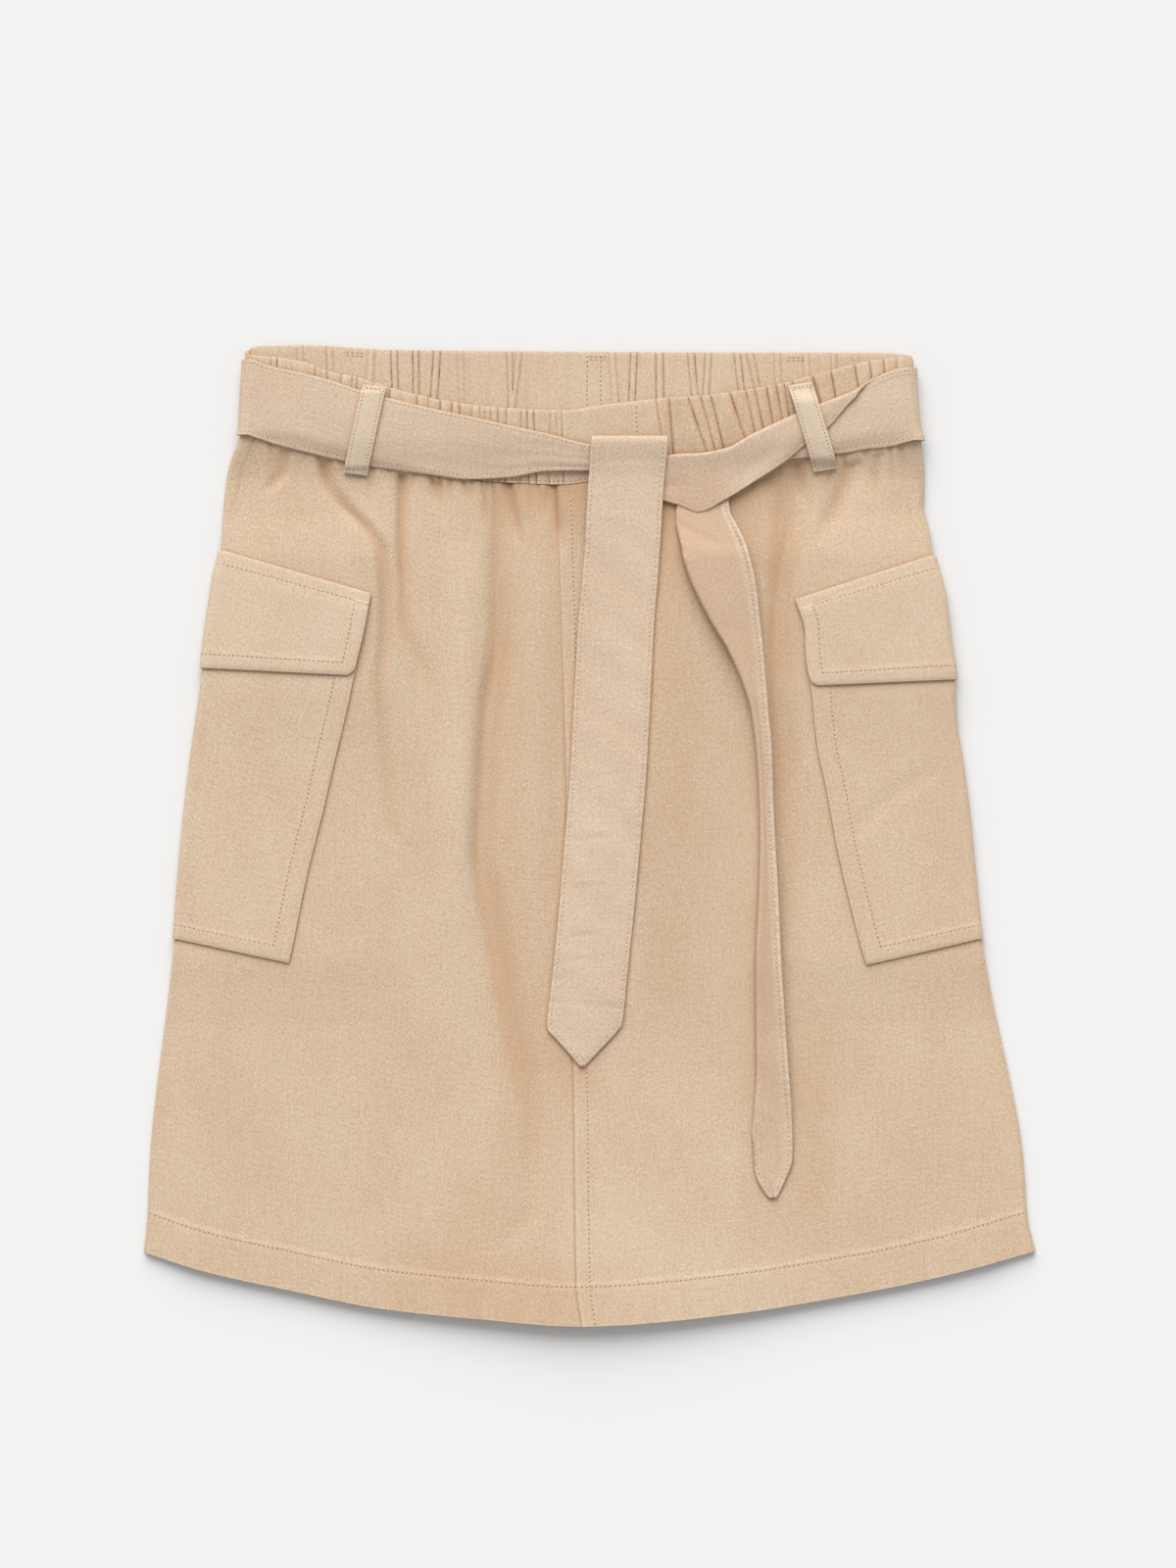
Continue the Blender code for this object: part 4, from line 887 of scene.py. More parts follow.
# y at the side fold, y at the inner edge in front, width in front.
BAG = {
    "left": (
        (128, 111, 74.8), (108, 92, 75.6), (92, 76.5, 74.2), (76, 61, 72.7), (66, 51, 71.8), (46, 31.5, 70.1),
        (30, 15.5, 68.6), (12, -2, 66.3), (-8, -21.5, 63.5), (-30, -43, 60.9), (-53, -65, 58.1),
    ),
    "right": (
        (128, 111, 66.3), (108, 92, 69.1), (92, 76.5, 70.6), (76, 61, 70.8), (66, 51, 70.2), (46, 31.5, 68.9),
        (30, 15.5, 68.2), (12, -2, 67.4), (-8, -21.5, 65.2), (-30, -43, 62), (-53, -66, 58.4),
    ),
}
# Height of the bag on the back: y, height.
bag_back_z = Curve(((128, 2.3), (76, 2.3), (66, 0.6), (-53, 0.6)))
# y, inner y and width of the flap, and its height over the front.
FLAP = {
    "left": (
        (145, 123.5, 76.3, 1.7), (140, 119.5, 76.3, 1.9), (132.5, 113.5, 76.4, 2.8), (108, 98, 76.9, 2.8),
        (89, 85, 76.1, 2.8), (85.3, 81.8, 76, 2.7),
    ),
    "right": (
        (142.5, 120.5, 70.4, 1.7), (138, 116.5, 69.6, 1.9), (131.5, 112.5, 69.2, 2.8), (106, 94.5, 71.2, 2.8),
        (84, 80.5, 72.5, 2.8), (79.5, 76.5, 72.4, 2.7),
    ),
}


def pocket_piece(name, node, side, table, lift, back_z, past_bag, stitch, corner, shape_edges, flat, area,
                 rests_on, sewn_top):
    """A bag or a flap. stitch tells how far its stitches are from its inner and its lower edge."""
    outward = OUTWARD[side]
    inner_y, width = columns_of(table, 1, 2)
    top, low = table[0][0], table[-1][0]
    near_inner, near_low = stitch_rows(stitch[0]), stitch_rows(stitch[1])
    between = steps(top - near_inner[-1] - 1.5, low + near_low[-1] + 1.5, 2.0)
    levels = np.concatenate((top - near_inner, between, low + near_low[::-1]))
    middle = steps(0.0, 1.0, 1.0 / 34)
    rows, wear_and_painted_light_rows = [], []
    for y in levels:
        layer, height = float(lift(y)), float(back_z(y))
        fold_x = fold_at[side](y) + outward * layer
        radius = (front_height(fold_x - 2 * outward, y) + layer - height) / 2
        back_width = abs(fold_x - outward * radius - (BAG_BACK_EDGE[side] - outward * past_bag))
        on_back = back_width * (1.0 - np.concatenate((EDGE / back_width, steps(0.04, 1.0, 0.04))))
        section = wrapped(side, y, on_back, [0.0], lambda x, y: np.full(np.shape(x), height),
                          lambda x, y: front_height(x, y) + layer, fold_x)
        rounding = max(0.0, corner - (y - low))
        reach = width(y) - corner + np.sqrt(max(0.0, corner ** 2 - rounding ** 2))
        inner_x = fold_at[side](y) - outward * reach
        span = abs(section[-1][0] - inner_x)
        distance = np.concatenate((blend(span, near_inner[-1] + 1.3, middle)[1:], near_inner[::-1]))
        x, front_y = inner_x + outward * distance, blend(inner_y(y), y, distance / span)
        rise, wear_and_painted_light = shape_edges(distance, y - low, top - y)
        front = np.stack((x, front_y, front_height(x, front_y) + layer + rise), axis=1)
        edge_rise, edge_rub = shape_edges(np.full(len(section), 60.0), y - low, top - y)
        upper = np.linspace(0.0, 1.0, len(section)) ** 2
        section[:, 2] += edge_rise * upper
        rows.append(np.concatenate((section, front)))
        wear_and_painted_light_rows.append(np.concatenate((edge_rub * upper, wear_and_painted_light)))
    points, wear_and_painted_light = np.array(rows), np.array(wear_and_painted_light_rows)
    face = skin(points, -outward * (CLOTH / 2 + ON_TOP))
    inner_column = points.shape[1] - 1 - nearest(near_inner, stitch[0])
    low_row = len(levels) - 1 - nearest(near_low, stitch[1])
    top_row = nearest(near_inner, stitch[0]) if sewn_top else 0
    in_front = slice(12, inner_column + 1)
    rows, tacks = [face[low_row, in_front], face[top_row:low_row + 1, inner_column]], []
    if sewn_top:
        rows.append(face[top_row, in_front])
        tacks.append((face[top_row, inner_column], face[top_row, -3]))
    threads = sew("threads_" + name, rows, tacks=tacks)
    if side == "right":
        points, wear_and_painted_light = points[:, ::-1], wear_and_painted_light[:, ::-1]
    lay_cloth(name, node, points, CLOTH, "skirt_twill", flat, wear_and_painted_light, threads, area=area, rests_on=rests_on)


def turned_edge(edge, from_stitch, thick, pulled, tone, pale, deep):
    """Rise and tone of an edge turned under: thicker up to its stitches, which pull it in and get a line of
    painted shade.
    """
    rise = thick * fall(from_stitch - 0.5, 1.6) - pulled * groove(from_stitch, 0.9) - 0.35 * fall(edge, 1.6)
    # Painted shade along the rim and in the stitch line; the band beside the edge is rubbed pale.
    return rise, tone + rim(edge, pale, 1.2) - deep * groove(from_stitch, 0.9)


def bag_edges(from_inner, from_low, _):
    from_stitch = np.minimum(from_inner, from_low * BAG_STITCH / BAG_LOW_STITCH) - BAG_STITCH
    return turned_edge(np.minimum(from_inner, from_low), from_stitch, 0.25, 0.15, 0.08, 0.35, 0.40)


def flap_edges(from_inner, from_low, from_top):
    edge = np.minimum(np.minimum(from_inner, from_low), from_top)
    return turned_edge(edge, edge - FLAP_STITCH, 0.30, 0.18, 0.25, 0.30, 0.55)


for side in ("left", "right"):
    pocket_piece("bag_" + side, "pocket_" + side, side, BAG[side], lambda y: POCKET_STEP, bag_back_z, 0.0,
                 (BAG_STITCH, BAG_LOW_STITCH), 0.0, bag_edges, (0.180, 0.190), 0.0300, ["front_" + side],
                 False)
    pocket_piece("pocket_flap_" + side, "flap_" + side, side, FLAP[side], columns_of(FLAP[side], 3)[0],
                 lambda y: BACK_Z, PAST_BAG, (FLAP_STITCH, FLAP_STITCH), FLAP_CORNER, flap_edges,
                 (0.165, 0.063), 0.0098, ["pocket_" + side], True)

# ---- Tie belt ------------------------------------------------------------------------------------
# One long strip of twill, sewn double and stitched near both edges, with pointed ends. It runs behind
# the skirt, is bunched at the left of the knot and folded down over itself at the right.
BELT = 1.5              # its wall, with both layers of cloth
REST_GAP = 0.3          # between pieces that lie on each other
BELT_FOLD = 2.1         # between the middles of two layers at a fold
BELT_STITCH = 1.8       # stitches inside the belt's edges
BELT_HOLE = 0.72        # its needle dents are smaller than those in the skirt
BELT_BACK_Z = BELT / 2
BELT_DROOP = 1.1        # how far it hangs over the step below the waist
STRIP_EDGE = np.array([0.0, 0.3, 0.65, 1.05, 1.45, 1.8, 2.15, 2.6, 3.4])
STITCH_PLACE = 5        # where the stitches are in the row above
STRIP_PITCH = 1.15      # between the rows of a stretch across the waist
# Left stretch: x, top y, bottom y, height of its bunching.
BELT_LEFT = (
    (-166, 240, 201.5, 0), (-160, 238.4, 199.6, 0), (-142, 234.4, 195.1, 0), (-128, 230.4, 191.9, 0),
    (-112, 225.1, 188.6, 0), (-101, 222.4, 187.1, 0.05), (-81, 217.6, 184.4, 0.1), (-61, 213.4, 181.9, 0.3),
    (-41, 208.9, 182.9, 0.6), (-21, 204.6, 186.1, 0.8), (0, 199.4, 186.4, 0.8), (19.3, 197.4, 187.4, 0.6),
)
# Right stretch, whose upper part is folded down over itself: x, fold y, lower y, free edge y.
BELT_RIGHT = (
    (156, 237.6, 199.1, 237.6), (150, 235.2, 198.1, 235.2), (146, 233.1, 197.7, 232.3),
    (142, 230.6, 197.3, 229.2), (138, 228.2, 196.7, 225.6), (131, 225.1, 195.4, 219.1),
    (122, 221.6, 194.4, 208.6), (111, 217.4, 193.1, 200.4), (99, 212.1, 191.9, 190.4),
    (83, 204.6, 190.4, 179.9), (70, 197.6, 188.4, 171.9), (55, 194.9, 186.4, 164.9),
    (47, 194.6, 185.4, 168.1), (38, 193.6, 184.4, 170.9), (20.3, 191.4, 184.4, 178.4),
)
# Lengthwise creases of the left stretch that gather towards the knot: share of the width at their start and
# at their end, half width, depth.
BELT_CREASES = ((0.24, 0.34, 0.20, 0.12), (0.55, 0.66, 0.22, 0.16), (0.80, 0.86, 0.12, 0.18))
# Upper and lower y of the belt at the side folds.
BELT_SIDE_TOP = {"left": 242.6, "right": 238.4}
BELT_SIDE_LOW = {"left": 204.1, "right": 201.4}

twills["belt_twill"] = twill("belt_twill", (0.575, 0.392, 0.262), (0.725, 0.600, 0.468), 0.9, 0.14)


def belt_height(x, y):
    """Middle of the belt, which droops over the step from the gathered waist to the panels."""
    beside_knot = np.maximum(window(x, 116, 14, 164, 10), window(x, -172, 10, -20, 50))
    droop = BELT_DROOP * beside_knot * ease((front_waist(x) - y + 1.5) / 6.0)
    return over_front(x, y) + REST_GAP + BELT / 2 - droop


def belt_arc(side, share):
    """The belt round one side of the skirt, from the back to the front, at a share of its width."""
    outward = OUTWARD[side]
    y = blend(BELT_SIDE_TOP[side], BELT_SIDE_LOW[side], share)
    high = belt_height(fold_at[side](y), max(y, 216.0))
    radius = (high - BELT_BACK_Z) / 2
    centre = fold_at[side](y) + outward * (CASING / 2 + REST_GAP + BELT / 2 - radius)
    turn = np.pi * np.arange(0, 13) / 12
    x = np.concatenate(([centre - outward * 4.0], centre + outward * radius * np.sin(turn)))
    z = np.concatenate(([BELT_BACK_Z], (high + BELT_BACK_Z) / 2 - radius * np.cos(turn)))
    return np.stack((x, np.full(len(x), y), z), axis=1)


def strip_edges(from_edge, along=0.0):
    """A pressed strip beside its edge: rolled edge, pulled in and faintly puckered by its stitches."""
    pucker = 0.10 * np.sin(along * 1.05 + 0.8 * np.sin(along * 0.23)) * fall(from_edge, 4.5)
    return pucker - 0.30 * fall(from_edge, 1.1) - 0.14 * groove(from_edge - BELT_STITCH, 0.75)


def strip_wear_and_painted_light(from_edge):
    # Pale worn band beside the edge, with painted shade along the rim and in the stitch line.
    return rim(from_edge, 0.45, 0.9) - 0.15 * groove(from_edge - BELT_STITCH, 0.75)


def strip_shares(width, middle):
    """Shares across a strip, row by row for its widths: close at both edges and even between them."""
    near = STRIP_EDGE[None, :] / np.asarray(width, float)[:, None]
    near = np.minimum(near, 0.46 * (np.arange(len(STRIP_EDGE)) / (len(STRIP_EDGE) - 1.0))[None, :])
    even = blend(near[:, -1:], 1.0 - near[:, -1:], np.linspace(0.0, 1.0, middle + 2)[None, 1:-1])
    return np.concatenate((near, even, 1.0 - near[:, ::-1]), axis=1)


def lay_strip(node, points, wear_and_painted_light, flat, rows, hole=BELT_HOLE, stitch=STITCH, **lie):
    threads = sew("threads_" + node, rows, stitch=stitch, hole=hole)
    lay_cloth(node + "_strip", node, points, BELT, "belt_twill", flat, wear_and_painted_light, threads, **lie)


def with_arcs(arcs, strips, wear_and_painted_light):
    """Points and tone, wear and painted light together, of a stretch, with its way round the side in front of
    it.
    """
    return (np.concatenate((arcs, strips), axis=1),
            np.concatenate((np.repeat(wear_and_painted_light[:, :1], arcs.shape[1], axis=1), wear_and_painted_light), axis=1))


def belt_left():
    x = steps(-166.0, 19.3, STRIP_PITCH)
    top, low, bunch = (curve(x) for curve in columns_of(BELT_LEFT, 1, 2, 3))
    shares = strip_shares(top - low, 16)
    x, bunch = x[:, None], bunch[:, None]
    y = blend(top[:, None], low[:, None], shares)
    from_edge = np.minimum(shares, 1.0 - shares) * (top - low)[:, None]
    z = belt_height(x, y) + strip_edges(from_edge, x) + 0.15 * np.sin(x / 11.0 + shares * 3.0)
    toward = ease((x + 95.0) / 90.0)
    for start, end, width, depth in BELT_CREASES:
        off = shares - blend(start, end, toward)
        z = z - 1.4 * depth * bunch * groove(off, blend(0.03, width, toward))
    z = z + 0.4 * bunch * groove(shares - 0.72, 0.20)
    flat = np.stack((np.broadcast_to(x, y.shape), y, z), axis=2).transpose(1, 0, 2)
    arcs = np.array([belt_arc("left", share) for share in shares[0]])
    points, wear_and_painted_light = with_arcs(arcs, flat, strip_wear_and_painted_light(from_edge).T)
    face = skin(points, BELT / 2)
    lay_strip("belt_left", points, wear_and_painted_light, (0.040, 0.195), [face[STITCH_PLACE], face[-1 - STITCH_PLACE]],
              rests_on=["waistband_front"], warp="across")


def folded(flat, turned):
    """Section of a strip whose edge is turned over, from the free edge of its flat layer.

    Gives places along the section, and distance from the fold's centre and height at each.
    """
    radius = BELT_FOLD / 2
    fold_width = radius + BELT / 2
    share = min(1.0, turned / (2 * fold_width))
    angle = np.pi * share
    arc = radius * angle
    upper = fold_width * share ** 2 + max(0.0, turned - 2 * fold_width)
    total = flat + arc + upper
    edge = STRIP_EDGE * min(1.0, 0.35 * total / STRIP_EDGE[-1])
    arc_room = max(arc, min(0.8, 0.1 * total))
    arc_start = min(flat, total - edge[-1] - 0.03 * total - arc_room)
    place = np.concatenate((edge, np.linspace(edge[-1], arc_start, 10)[1:-1],
                            np.linspace(arc_start, arc_start + arc_room, 11),
                            np.linspace(arc_start + arc_room, total - edge[-1], 10)[1:-1],
                            total - edge[::-1]))
    turn = np.clip((place - flat) / radius, 0.0, angle)
    past = np.maximum(place - flat - arc, 0.0)
    off = np.maximum(flat - place, 0.0) - radius * np.sin(turn) - past * np.cos(turn)
    height = radius * (1.0 - np.cos(turn)) + past * np.sin(turn)
    return place, total, off, height


def fold_inset(turned):
    """Outside of a fold to its centre."""
    fold_width = BELT_FOLD / 2 + BELT / 2
    return fold_width * np.minimum(1.0, turned / (2 * fold_width))


def belt_right():
    """The strip's section runs up from its lower edge, over the fold and down to its free edge."""
    fold_y, low_y, free_y = columns_of(BELT_RIGHT, 1, 2, 3)
    sections, wear_and_painted_light_rows, shares = [], [], None
    for x in steps(156.0, 20.3, STRIP_PITCH):
        fold, low, free = float(fold_y(x)), float(low_y(x)), float(free_y(x))
        centre_y = fold - float(fold_inset(fold - free))
        place, total, off, height = folded(centre_y - low, fold - free)
        shares = place / total if shares is None else shares
        y = centre_y - off
        from_edge = np.minimum(place, total - place)
        z = belt_height(x, y) + height + strip_edges(from_edge, x)
        # The layer that is folded down waves, lifts at its free edge and dips in a crease beside the knot.
        upper = ease((place / total - 0.55) / 0.2) * ease((138.0 - x) / 30.0)
        free_lift = blend(0.9, -1.2, ease((x - 92.0) / 20.0)) * ease((x - 60.0) / 30.0)
        z = z + upper * (0.35 * np.sin(x / 9.0 + y / 14.0) + free_lift * ease((place - total + 9.0) / 9.0))
        z = z - 0.5 * upper * groove(y - 178.5 - 0.21 * (x - 40.0), 2.6) * ease((66.0 - x) / 22.0)
        sections.append(np.stack((np.full(len(y), x), y, z), axis=1))
        # Painted shade on the folded layer beside the knot, deepest low down, and on the top of the fold.
        beside_knot = ease((82.0 - x) / 22.0) * (0.25 + 0.45 * ease((190.0 - y) / 14.0))
        fold_top_shade = 0.2 * groove(centre_y + 1.2 - y, 1.4) * (height > 0.3)
        wear_and_painted_light_rows.append(strip_wear_and_painted_light(from_edge) - fold_top_shade - beside_knot)
    arcs = np.array([belt_arc("right", 1.0 - share) for share in shares])
    points, wear_and_painted_light = with_arcs(arcs, np.array(sections).transpose(1, 0, 2), np.array(wear_and_painted_light_rows).T)
    face = skin(points, BELT / 2)[:, :-2]
    lay_strip("belt_right", points, wear_and_painted_light, (0.040, 0.170), [face[STITCH_PLACE], face[-1 - STITCH_PLACE]],
              held="folded", rests_on=["waistband_front"], warp="across")


def belt_back():
    start, end = belt_arc("left", 0.0)[0, 0] + SEAM, belt_arc("right", 0.0)[0, 0] - SEAM
    x = steps(start, end, 2.0)
    across = (x - start) / (end - start)
    top = blend(BELT_SIDE_TOP["left"], BELT_SIDE_TOP["right"], across)
    low = blend(BELT_SIDE_LOW["left"], BELT_SIDE_LOW["right"], across)
    shares = strip_shares(top - low, 8)
    y = blend(top[:, None], low[:, None], shares)
    z = BELT_BACK_Z + 1.5 * (1.0 - np.clip((from_back_loop(x) - 7.0) / 6.5, 0.0, 1.0))
    points = np.stack(np.broadcast_arrays(x[:, None], y, z[:, None]), axis=2).transpose(1, 0, 2)
    wear_and_painted_light = strip_wear_and_painted_light(np.minimum(shares, 1.0 - shares) * (top - low)[:, None]).T
    face = skin(points, -BELT / 2)
    lay_strip("belt_back", points, wear_and_painted_light, (0.0385, 0.345), [face[STITCH_PLACE], face[-1 - STITCH_PLACE]],
              hole=1.0, stitch=(*STITCH[:2], 0.2), warp="across")


belt_left()
belt_right()
belt_back()

# Front end of the belt, over the knot and down the front: y, left x, right x.
TAIL_FRONT = (
    (202.4, 1.4, 39.4), (201.6, 1, 39.7), (199.5, 0.9, 39.6), (196, 0.5, 39.4), (186, 0, 38.4),
    (176, -0.8, 37.5), (168, -1.2, 37), (158, -1.7, 36.4), (146, -2.3, 35.7), (126, -4, 34.3),
    (106, -5.8, 32.7), (80, -7.2, 31.4), (55, -8.5, 30.1), (30, -9.8, 28.7), (8, -11.6, 26.8),
    (-14, -13.5, 24.8), (-37, -15.6, 22.7), (-57, -17.4, 20.6), (-77, -19.4, 18.5), (-97, -21.6, 16.3),
    (-98.6, -21.4, 15), (-103, -17.6, 11.2), (-110, -11.3, 4.6), (-116.6, -5.6, -1.7), (-117.7, -4.6, -2.8),
)
# Middle of the front end over the gathered waist, with the folded belt below it.
KNOT_HEIGHT = BELT_FOLD + BELT + REST_GAP * 2 + BELT / 2
# How far the front end is up on the knot rather than down on the front: y, share.
knot_share = Curve(((203, 0.50), (202, 0.80), (200.6, 0.95), (198, 1), (180, 1), (150, 0.80),
                    (115, 0.50), (80, 0.24), (40, 0.05), (10, 0)))
# Cross creases of the front end: y, depth, share of the width that they reach from the left.
TAIL_CREASES = (
    (92, 0.10, 0.8), (61, 0.08, 0.6), (30, 0.10, 0.9), (-1.2, 0.22, 0.7), (-26.2, 0.20, 0.4),
    (-51.2, 0.22, 0.5), (-63.7, 0.18, 0.35), (-73.7, 0.14, 0.6), (-86.2, 0.26, 1),
)
# Rear end of the belt, folded lengthwise at its left: y, left x, right x, width of the layer below.
TAIL_REAR = (
    (180, 48, 70, 0), (165, 44.4, 71.6, 0), (160, 44.6, 74, 1.3), (155, 45, 76.5, 2.6),
    (150, 45.9, 78.8, 3.8), (142, 47.5, 81.3, 8), (130.4, 51.2, 84, 14), (110, 61.2, 86.5, 14),
    (94, 70.7, 88.2, 12), (79.4, 77.2, 89.5, 9.5), (63.4, 82.2, 90.7, 6.5), (44.4, 84.7, 92.5, 6),
    (26, 86, 93, 5.5), (-1.2, 86.8, 94.2, 6), (-27.7, 86.2, 95.7, 7.5), (-65.7, 84.7, 97.5, 9),
    (-95, 84.9, 99.5, 9), (-123.2, 85, 101.5, 6), (-138, 84, 102.7, 4), (-150, 83.6, 103.2, 2),
    (-160, 83.6, 103.4, 0), (-167, 83.8, 103, 0), (-172, 84.4, 101.3, 0), (-177, 86.7, 99.2, 0),
    (-181.5, 89.4, 97, 0), (-183.6, 91, 95.9, 0), (-184.6, 92.4, 95, 0),
)
TAIL_PITCH = 1.35       # between the rows of a hanging end
TIP_Y = -95.0           # where the front end narrows to its point


def top_of_folds(x, y, reach=4.0):
    """Top of the front panels within reach of a place, as a stiff strip lies on them."""
    top = front_height(x, y)
    for a in np.arange(8) * np.pi / 4:
        top = np.maximum(top, front_height(x + reach * np.cos(a), y + reach * np.sin(a)))
    return top + CAD_CLOTH / 2


def tail_front():
    y = np.concatenate((203.0 - np.array([0.0, 0.25, 0.5, 0.8, 1.2, 1.8]), steps(200.2, TIP_Y, TAIL_PITCH),
                        steps(-96.0, -117.7, 0.8)))
    left, right = (edge(y) for edge in columns_of(TAIL_FRONT, 1, 2))
    slope = np.where(y < TIP_Y, np.sqrt(1.0 + np.gradient(right, y) ** 2), 1.0)
    width = (right - left) / slope
    shares = strip_shares(width, 14)
    x = blend(left[:, None], right[:, None], shares)
    down = np.broadcast_to(y[:, None], x.shape)
    from_edge = np.minimum(np.minimum(shares, 1.0 - shares) * width[:, None], 60.0)
    on_panel = top_of_folds(x, down) + REST_GAP + BELT / 2
    z = blend(on_panel, over_front(x, down) + KNOT_HEIGHT, knot_share(down)) + strip_edges(from_edge, down)
    for place, depth, reach in TAIL_CREASES:
        fade = ease((reach + 0.25 - shares) / 0.3) * (0.6 + 0.4 * np.sin(7.0 * shares + place))
        z = z - depth * fade * groove(down - place - 1.6 * np.sin(3.0 * shares + place), 2.0)
        z = z + 0.5 * depth * fade * groove(down - place - 3.4, 3.0)
    z = z + 0.22 * np.sin(down / 13.0 + 2.0 * shares) * np.sin(down / 5.3 + 5.0 * shares) * (down < 165.0)
    z = z + 0.25 * np.sin(np.pi * shares) * (down < 190.0)
    points = np.stack((x, down, z), axis=2)
    # Painted shade on the top rows, where the end turns over the knot.
    wear_and_painted_light = strip_wear_and_painted_light(from_edge) - 0.25 * ease((down - 197.0) / 4.0)
    face = skin(points, BELT / 2)[5:-3]
    lay_strip("tail_front", points, wear_and_painted_light, (0.040, 0.325), [face[:, STITCH_PLACE], face[:, -1 - STITCH_PLACE]],
              area=0.0124, rests_on=["belt_right", "front_left", "front_right"])


def tail_rear():
    """Its section runs from the outer edge at the right, round the fold at the left and back below."""
    levels = np.concatenate((steps(180.0, -150.0, TAIL_PITCH), steps(-151.0, -182.0, 0.9),
                             steps(-182.5, -184.6, 0.4)))
    curves = columns_of(TAIL_REAR, 1, 2, 3)
    rows, wear_and_painted_light_rows = [], []
    for y in levels:
        left, right, under = (float(curve(y)) for curve in curves)
        fold_x = left + float(fold_inset(under))
        place, total, off, drop = folded(right - fold_x, under)
        x = fold_x + off
        folds_below = top_of_folds(np.array([left, (left + right) / 2, right]), y)
        rest = float(np.max(folds_below)) + REST_GAP + BELT / 2
        across = (x - left) / (right - left)
        from_edge = np.minimum(place, total - place) if under < 0.1 else place
        z = rest + ease(under / 8.0) * (BELT_FOLD - drop) + strip_edges(from_edge, y)
        # The layer that faces up tilts to its fold, curls at its stitched edge and creases under the knot.
        tilt = 3.2 * (1.0 - across) * window(y, -150, 110, 168, 30)
        curl = 1.7 * ease((3.0 - place) / 2.6) * window(y, -165, 30, 165, 15)
        ripple = 0.20 * np.sin(y / 6.0 + 3.0 * across) * ease((-60.0 - y) / 40.0)
        ripple = ripple + 0.30 * np.sin(10.0 * across + y / 8.0) * window(y, -182, 8, -138, 14)
        crease = 0.6 * groove(y - 146.0 + 0.45 * (x - 46.0), 3.4) * fall(x - 48.0, 12.0)
        crease = crease + 0.6 * groove(y - 158.0 + 0.5 * (x - 46.0), 4.0) * ease((72.0 - x) / 12.0)
        z = z + np.where(place < total - under, tilt + curl + ripple - crease, 0.0)
        rows.append(np.stack((x, np.full(len(x), y), z), axis=1))
        # Painted shade on the layer that faces up, deeper towards the knot, and in its creases.
        deeper = 0.35 + 0.35 * ease((y + 190.0) / 120.0) + 0.30 * ease((y - 125.0) / 30.0)
        wear_and_painted_light_rows.append(strip_wear_and_painted_light(from_edge) - deeper * ease((place - 3.5) / 2.0) - 0.4 * crease)
    points, wear_and_painted_light = np.array(rows)[:, ::-1], np.array(wear_and_painted_light_rows)[:, ::-1]
    face = skin(points, BELT / 2)[:-9]
    stitched = [face[4:, -1 - STITCH_PLACE], face[nearest(levels, -158.0):, STITCH_PLACE]]
    lay_strip("tail_rear", points, wear_and_painted_light, (0.040, 0.370), stitched, area=0.0094, held="folded",
              rests_on=["front_right"])


tail_front()
tail_rear()

# ---- Belt loops ----------------------------------------------------------------------------------
# Narrow strips of the skirt's twill, stitched along both edges. Each end is turned under and sewn to
# the skirt, and the middle passes over the belt.
LOOP_WIDTH = 12.0
LOOP_WALL = 1.2
LOOP_STITCH = 1.5       # stitches inside the loop's sides
LOOP_ENDS = 1.6         # and inside its ends
# Top place, bottom place, upper and lower y of the belt that it passes over, and how high the belt is.
FRONT_LOOPS = {
    "left": ((-109.5, 229.0), (-119.5, 184.4), (225.6, 189.2), BELT),
    "right": ((107.0, 230.0), (120.5, 186.4), (219.5, 193.4), BELT_FOLD + BELT),
}
END_STEP = REST_GAP + CAD_CLOTH / 2 + 0.4


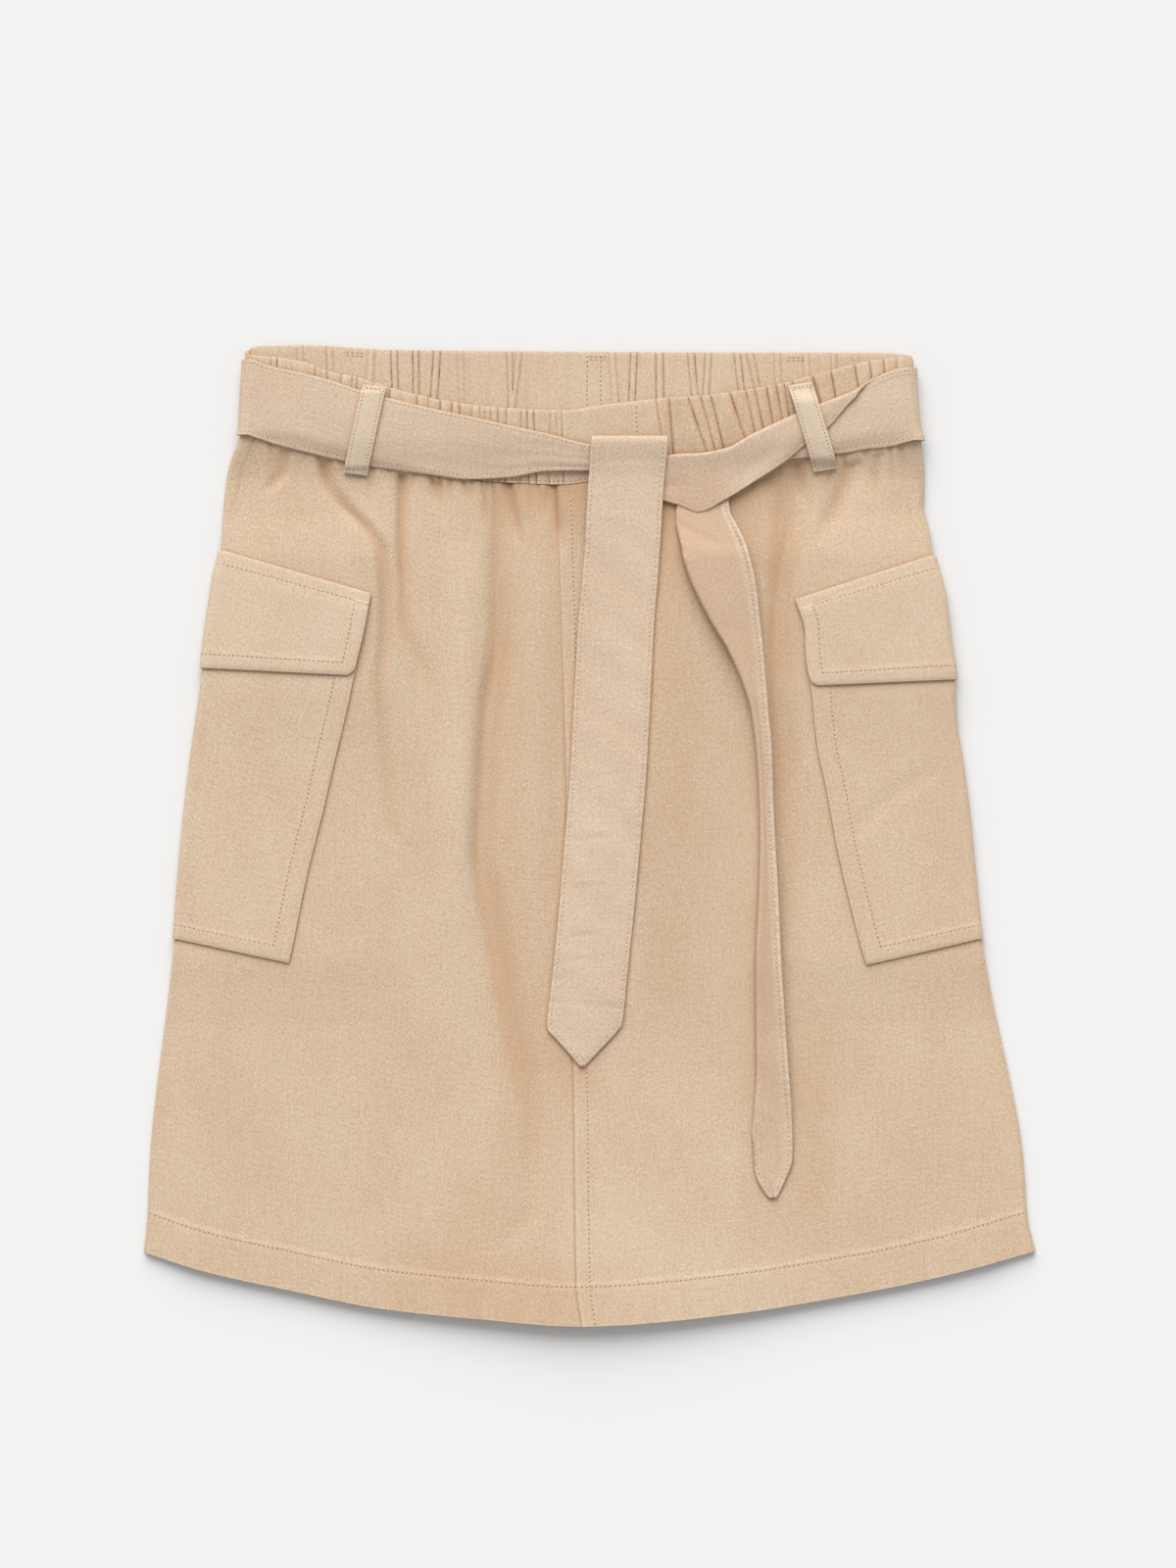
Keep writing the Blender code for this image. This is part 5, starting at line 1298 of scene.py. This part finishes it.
def loop_points(top, low, tilt, height, base):
    """Grid of a loop: height gives its rise at a y, base the height of what it lies on."""
    (top_x, top_y), (low_x, low_y) = top, low
    length = float(np.hypot(top_x - low_x, top_y - low_y))
    near = np.array([0.0, 0.3, 0.7, 1.2, 1.6, 2.0, 2.5]) / length
    between = steps(3.2 / length, 1.0 - 3.2 / length, 1.1 / length)
    down = np.concatenate((near, between, 1.0 - near[::-1]))[:, None]
    side = np.array([0.0, 0.3, 0.7, 1.15, 1.5, 1.85, 2.4, 3.6, 5.0, 6.0]) / LOOP_WIDTH
    across = np.concatenate((side, 1.0 - side[-2::-1])) - 0.5
    x = blend(top_x, low_x, down) + LOOP_WIDTH * across
    y = blend(top_y, low_y, down) - tilt * across
    from_side = (0.5 - np.abs(across)) * LOOP_WIDTH
    from_end = np.minimum(down, 1.0 - down) * length
    edge = np.minimum(from_side, from_end)
    z = base(blend(top_x, low_x, down), y) + height(y) - 0.35 * fall(edge, 1.2)
    z = z - 0.14 * groove(from_side - LOOP_STITCH, 0.7) - 0.14 * groove(from_end - LOOP_ENDS, 0.8)
    z = z + 0.18 * groove(across * LOOP_WIDTH, 4.0)
    # The loop is painted paler all over, as painted light on its raised strip; the band by its edge is rubbed
    # pale, with painted shade along the rim and in the stitch lines.
    wear_and_painted_light = 0.6 + rim(edge, 0.2, 0.9) - 0.45 * groove(from_side - LOOP_STITCH, 0.7)
    return np.stack((x, y, z), axis=2), wear_and_painted_light


def loop(side, points, wear_and_painted_light, offset, flat, rests_on=()):
    face = skin(points, offset)
    rows = [face[3:-3, 4], face[3:-3, -5], face[4, 2:-2], face[6, 2:-2], face[-5, 2:-2]]
    threads = sew("threads_loop_" + side, rows, pitch=1.9, stitch=(1.5, *STITCH[1:]))
    lay_cloth("belt_loop_" + side, "loop_" + side, points, LOOP_WALL, "skirt_twill", flat, wear_and_painted_light, threads,
              rests_on=rests_on)


def loop_front(side):
    top, low, (belt_top, belt_low), layers = FRONT_LOOPS[side]
    over = REST_GAP + layers + REST_GAP + CAD_CLOTH / 2
    height = Curve(((low[1] - 2.0, END_STEP), (low[1] + 1.8, END_STEP), (belt_low - 0.6, over),
                    (belt_top + 0.4, over), (max(top[1] - 2.2, belt_top + 1.2), END_STEP + 0.3),
                    (top[1] + 2.0, END_STEP)))
    points, wear_and_painted_light = loop_points(top, low, 1.5 if side == "left" else -2.0, height, over_front)
    loop("front_" + side, points, wear_and_painted_light, LOOP_WALL / 2, (0.012, 0.054), ["belt_" + side])


def loop_back(side, x):
    across = (x - side_left(225.0)) / (side_right(225.0) - side_left(225.0))
    belt_top = blend(BELT_SIDE_TOP["left"], BELT_SIDE_TOP["right"], across)
    top = min(float(top_back(x)) - 0.8, belt_top + 6.0)
    height = Curve(((197.0, 0.6), (belt_top + 0.8, 0.6), (top - 1.4, 2.0), (top + 1.0, 2.0)))
    points, wear_and_painted_light = loop_points((x, top), (x, 197.5), 0.0, height, lambda x, y: np.zeros(np.shape(y)))
    points[:, :, 2] = np.maximum(points[:, :, 2], LOOP_WALL / 2)
    loop("back_" + side, points, wear_and_painted_light, 0.1 - LOOP_WALL / 2, (0.012, 0.052))


for side in FRONT_LOOPS:
    loop_front(side)
for side, x in BACK_LOOPS.items():
    loop_back(side, x)
